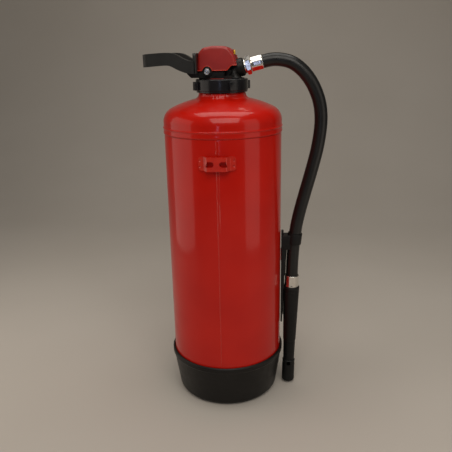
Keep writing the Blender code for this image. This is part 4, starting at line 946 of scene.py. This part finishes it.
hose_radius = 8.75
nozzle_top = Vector((97.0, 0, 178.3))
nozzle_lean = math.radians(1.2)
nozzle = Matrix.Translation(nozzle_top) @ Matrix.Rotation(math.pi + nozzle_lean, 4, "Y")
hose_start = outlet @ Vector((0, 0, 25.3))
hose_route = [
    (hose_start.x, hose_start.z),
    (72.0, 481.3), (90.0, 478.0), (103.5, 469.6), (114.6, 457.6), (123.5, 442.6), (129.7, 425.8),
    (132.4, 408.0), (131.9, 388.0), (128.1, 361.5), (121.0, 331.0), (113.6, 302.6), (107.0, 276.4),
    (102.1, 252.0), (99.2, 226.0), (97.6, 202.0), (nozzle_top.x, nozzle_top.z),
]


def smooth_line(route, first, last, between=6):
    """A smooth curve through the route's points that leaves and arrives in the given directions."""
    points = [Vector((x, 0, z)) for x, z in route]
    slopes = [(b - a) / 2 for a, b in zip(points, points[2:])]
    slopes = [first * (points[1] - points[0]).length, *slopes, last * (points[-1] - points[-2]).length]
    line = []
    for a, b, out, into in zip(points, points[1:], slopes, slopes[1:]):
        for i in range(between):
            t = i / between
            line.append(
                a * (2 * t**3 - 3 * t**2 + 1) + out * (t**3 - 2 * t**2 + t) + b * (3 * t**2 - 2 * t**3)
                + into * (t**3 - t**2)
            )
    return [*line, points[-1]]


hose_line = smooth_line(
    hose_route, outlet.to_3x3() @ Vector((0, 0, 1)), nozzle.to_3x3() @ Vector((0, 0, 1))
)


def along(line, i):
    """The frame of the hose's section at one point of its line: Z runs on along it and Y stays level."""
    ahead = (line[min(i + 1, len(line) - 1)] - line[max(i - 1, 0)]).normalized()
    sideways = Vector((0, 1, 0))
    frame_here = Matrix((sideways.cross(ahead), sideways, ahead)).transposed().to_4x4()
    frame_here.translation = line[i]
    return frame_here


bm = bmesh.new()
bmesh.ops.create_circle(bm, cap_ends=True, segments=40, radius=hose_radius, matrix=along(hose_line, 0))
end = bm.faces[:][0]
for i in range(1, len(hose_line)):
    swept = bmesh.ops.extrude_face_region(bm, geom=[end])["geom"]
    end = next(f for f in swept if isinstance(f, bmesh.types.BMFace))
    bmesh.ops.transform(
        bm, matrix=along(hose_line, i) @ along(hose_line, i - 1).inverted(), verts=end.verts[:]
    )
bmesh.ops.recalc_face_normals(bm, faces=bm.faces)
hose = piece("hose_tube", bm, black_rubber, "tank", "black_rubber", "hose", sharp=50)

lower_sleeve = crimped_sleeve("lower_sleeve", "lower_ferrule", nozzle, 10.5, 0.3, 17.5, False)
coated(nickel, "lower_hose_tail")


# ---- Nozzle ----------------------------------------------------------------------------------
# The foam nozzle: a long tapered barrel with two grip grooves, and a wider tip with four square
# windows that draw in air to make the foam. A brass jet disc sits near the top of the barrel.

barrel_start, barrel_end = 17.8, 139.3
nozzle_black = finish(
    "black_nozzle", (0.006, 0.006, 0.0058), 0.5,
    tones=((25, 4, 3), (0.005, 0.005, 0.0048), (0.008, 0.008, 0.0077)), sheen=((6, 6), 0.42, 0.58),
    grain=((0.6, 2), 0.03, 0.6), Specular_IOR_Level=0.25,
)
barrel = turned(
    [
        (5.1, barrel_start), (10.6, barrel_start, 0.6), (11.7, barrel_start + 1.1, 0.8),
        (11.7, 24.6, 0.3), (11.1, 24.9, 0.2), (11.1, 25.7, 0.2), (11.6, 26.0, 0.3), (11.5, 28.6, 0.3),
        (11.0, 28.9, 0.2), (11.0, 29.7, 0.2), (11.45, 30.0, 0.3), (9.45, 105.6, 0.4), (9.0, 106.6, 0.4),
        (8.3, barrel_end, 0.2), (6.1, barrel_end), (7.0, 104), (8.9, 38), (8.9, 30.3), (5.1, 30.3),
    ],
    steps=72, matrix=nozzle,
)
piece("barrel", barrel, nozzle_black, "tank", "black_plastic", "nozzle_body", sharp=32)
tip_start, tip_end, tip_radius = 139.6, 174.6, 9.5
tip = turned(
    [
        (8.6, tip_start, 0.3), (tip_radius, tip_start + 0.9, 0.5), (tip_radius - 0.1, tip_end - 3.2, 0.4),
        (tip_radius, tip_end - 2.6, 0.4), (tip_radius, tip_end, 0.7), (tip_radius - 1.6, tip_end, 0.5),
        (tip_radius - 1.6, tip_start + 4), (6.1, tip_start),
    ],
    steps=72,
)
windows = []
for number in range(2):
    window = prism(
        [
            (-2.5, tip_start + 1.6, 0.4), (2.5, tip_start + 1.6, 0.4), (2.5, tip_start + 7.9, 0.4),
            (-2.5, tip_start + 7.9, 0.4),
        ],
        -20, 20,
    )
    window.transform(Matrix.Rotation(number * math.pi / 2, 4, "Z"))
    windows.append(window)
tip = carved(tip, *windows)
tip.transform(nozzle)
piece("foam_tip", tip, nozzle_black, "tank", "black_plastic", "nozzle_tip", sharp=32)
coated(nickel, "jet_disc")


# ---- Nozzle holder ---------------------------------------------------------------------------
# A red steel lug welded to the tank's side, and the black moulding screwed to it: an arm with a
# C-shaped clip that the hose snaps into, and a ribbed spine that the nozzle lies against.

lug_low, lug_high = box("holder_lug")
holder_low, holder_high = box("nozzle_holder")
lug = prism(
    [
        (lug_low.x, lug_low.z, 0.2), (lug_high.x, lug_low.z, 1), (lug_high.x, lug_high.z, 1),
        (lug_low.x, lug_high.z, 0.2),
    ],
    lug_low.y, lug_high.y, bevel=0.5,
)
piece("side_lug", lug, red_enamel, "tank", "red_enamel", "holder_lug")

spine_back, spine_front = 81, 84.4
clip_low, clip_high = 225, 241
clip_middle = (clip_low + clip_high) / 2
above = min(range(20, len(hose_line)), key=lambda i: abs(hose_line[i].z - clip_middle))
a, b = hose_line[above - 1], hose_line[above + 1]
clip_at = Matrix.Translation(hose_line[above]) @ Matrix.Rotation(math.atan2(a.x - b.x, a.z - b.z), 4, "Y")
spine = prism(
    [
        (spine_back, holder_low.z, 1), (spine_front - 1, holder_low.z, 1), (spine_front, 157),
        (spine_front + 1.6, 159, 1), (spine_front + 1.6, 178, 1), (spine_front + 3.3, 180.5, 1),
        (spine_front + 3.7, 201, 1), (spine_front + 5, 222, 1), (spine_front, 222.5),
        (spine_front, holder_high.z, 1), (spine_back, holder_high.z, 1),
    ],
    -7, 7, bevel=0.5,
)
clip_inner = hose_radius + 0.5
clip_outer = hose_radius + 1.5
clip_opening = 55
ring_outline = []
for radius, angles in (
    (clip_outer, range(90 + clip_opening, 451 - clip_opening, 5)),
    (clip_inner, range(450 - clip_opening, 89 + clip_opening, -5)),
):
    ring_outline += [
        (radius * math.cos(math.radians(d)), radius * math.sin(math.radians(d))) for d in angles
    ]
clip = prism(
    ring_outline, clip_low - clip_middle, clip_high - clip_middle, bevel=0.25, segments=2, plane="XY",
)
clip.transform(clip_at)
arm = prism(
    [
        (spine_back, clip_low - 6, 0.5), (clip_at.translation.x - 4, clip_low - 6, 1),
        (clip_at.translation.x - 4, clip_high - 1, 1), (spine_back, clip_high - 1, 0.5),
    ],
    -8, 8, bevel=0.6,
)
arm = carved(arm, cylinder(clip_inner, -24, 24, clip_at, 64))
ribs = []
for k in range(9):
    rib_z = 152 - 4.4 * k
    rib = prism(
        [
            (spine_front - 0.6, rib_z - 0.7, 0.2), (spine_front + 0.55, rib_z - 0.5, 0.3),
            (spine_front + 0.55, rib_z + 0.5, 0.3), (spine_front - 0.6, rib_z + 0.7, 0.2),
        ],
        -6.4, 6.4,
    )
    ribs.append(rib)
pocket = prism(
    [(spine_back - 2, lug_low.z - 0.3), (lug_high.x + 0.3, lug_low.z - 0.3),
     (lug_high.x + 0.3, lug_high.z + 0.3), (spine_back - 2, lug_high.z + 0.3)],
    lug_low.y - 0.3, lug_high.y + 0.3,
)
screw_line = Matrix.Translation((0, 0, (lug_low.z + lug_high.z) / 2)) @ Matrix.Rotation(math.pi / 2, 4, "Y")
sink = cylinder(3.2, spine_front + 1.4, spine_front + 12, screw_line, 32)
through = cylinder(1.9, spine_back, spine_front + 12, screw_line, 24)
bm = carved(spine, clip, arm, *ribs, operation="UNION")
bm = carved(bm, pocket, sink, through)
piece("holder", bm, nozzle_black, "tank", "black_plastic", "nozzle_holder", sharp=30)
screw("holder_bolt", screw_line, spine_front + 1.7, 2.7, 1.4, 1.6, lug_high.x + 0.4, "holder_screw")


# ---- Studio and camera -----------------------------------------------------------------------
# A pale sweep, a tall softbox on each side, a key light in front, a narrow blue one, one overhead,
# and the camera a little above the nut, looking down at the side with the bracket.

sweep = bmesh.new()
start = [
    sweep.verts.new((-3, y, z)) for y, z in filleted([(-2.5, 0), (1.6, 0, 0.8), (1.6, 3)], closed=False)
]
ribs = [sweep.edges.new(pair) for pair in zip(start, start[1:])]
swept = bmesh.ops.extrude_edge_only(sweep, edges=ribs)["geom"]
bmesh.ops.translate(sweep, vec=(6, 0, 0), verts=[v for v in swept if isinstance(v, bmesh.types.BMVert)])
bmesh.ops.recalc_face_normals(sweep, faces=sweep.faces)
if sum(f.normal.z for f in sweep.faces) < 0:
    bmesh.ops.reverse_faces(sweep, faces=sweep.faces)
floor_mesh = bpy.data.meshes.new("floor")
sweep.to_mesh(floor_mesh)
sweep.free()
floor_mesh.shade_smooth()
floor = bpy.data.objects.new("floor", floor_mesh)
bpy.context.scene.collection.objects.link(floor)
pale_floor = finish(
    "pale_floor", (0.48, 0.44, 0.39), 0.7, tones=((400, 2), (0.47, 0.43, 0.38), (0.50, 0.46, 0.41)),
)
floor.data.materials.append(pale_floor)

world = bpy.data.worlds.new("studio")
world.use_nodes = True
world.node_tree.nodes["Background"].inputs["Color"].default_value = (1.0, 0.97, 0.93, 1)
world.node_tree.nodes["Background"].inputs["Strength"].default_value = 0.07
bpy.context.scene.world = world
bpy.context.scene.view_settings.view_transform = "Standard"


def softbox(name, place, target, width, tall, radiance, tint):
    """A rectangular light of an even brightness, seen in reflections but not by the camera."""
    light = bpy.data.lights.new(name, "AREA")
    light.shape = "RECTANGLE"
    light.size = width
    light.size_y = tall
    light.energy = radiance * math.pi * width * tall
    light.color = tint
    obj = bpy.data.objects.new(name, light)
    obj.location = place
    obj.rotation_euler = (Vector(target) - Vector(place)).to_track_quat("-Z", "Y").to_euler()
    obj.visible_camera = False
    bpy.context.scene.collection.objects.link(obj)


softbox("left_window", (-0.72, -0.14, 0.44), (0, -0.05, 0.44), 0.72, 0.84, 0.85, (1.0, 0.90, 0.80))
softbox("right_window", (0.58, -0.34, 0.46), (0, -0.02, 0.46), 0.36, 0.80, 0.75, (1.0, 0.90, 0.80))
softbox("key_light", (0.25, -1.25, 1.55), (0, 0, 0.3), 1.5, 1.1, 3.0, (1.0, 0.95, 0.88))
softbox("blue_window", (-0.10, -1.6, 0.42), (0, 0, 0.45), 0.09, 0.34, 3.0, (0.55, 0.65, 1.0))
softbox("ceiling_light", (0.0, 0.1, 1.5), (0, 0, 0.4), 1.2, 0.8, 2.6, (1.0, 0.96, 0.9))

camera_data = bpy.data.cameras.new("camera")
camera_data.lens = 43.6619
camera_data.sensor_width = 36
camera = bpy.data.objects.new("camera", camera_data)
camera.location = (0.07914, -0.75301, 0.4891)
camera.rotation_euler = [math.radians(angle) for angle in (72.58, 1.192, 5.525)]
bpy.context.scene.collection.objects.link(camera)
bpy.context.scene.camera = camera
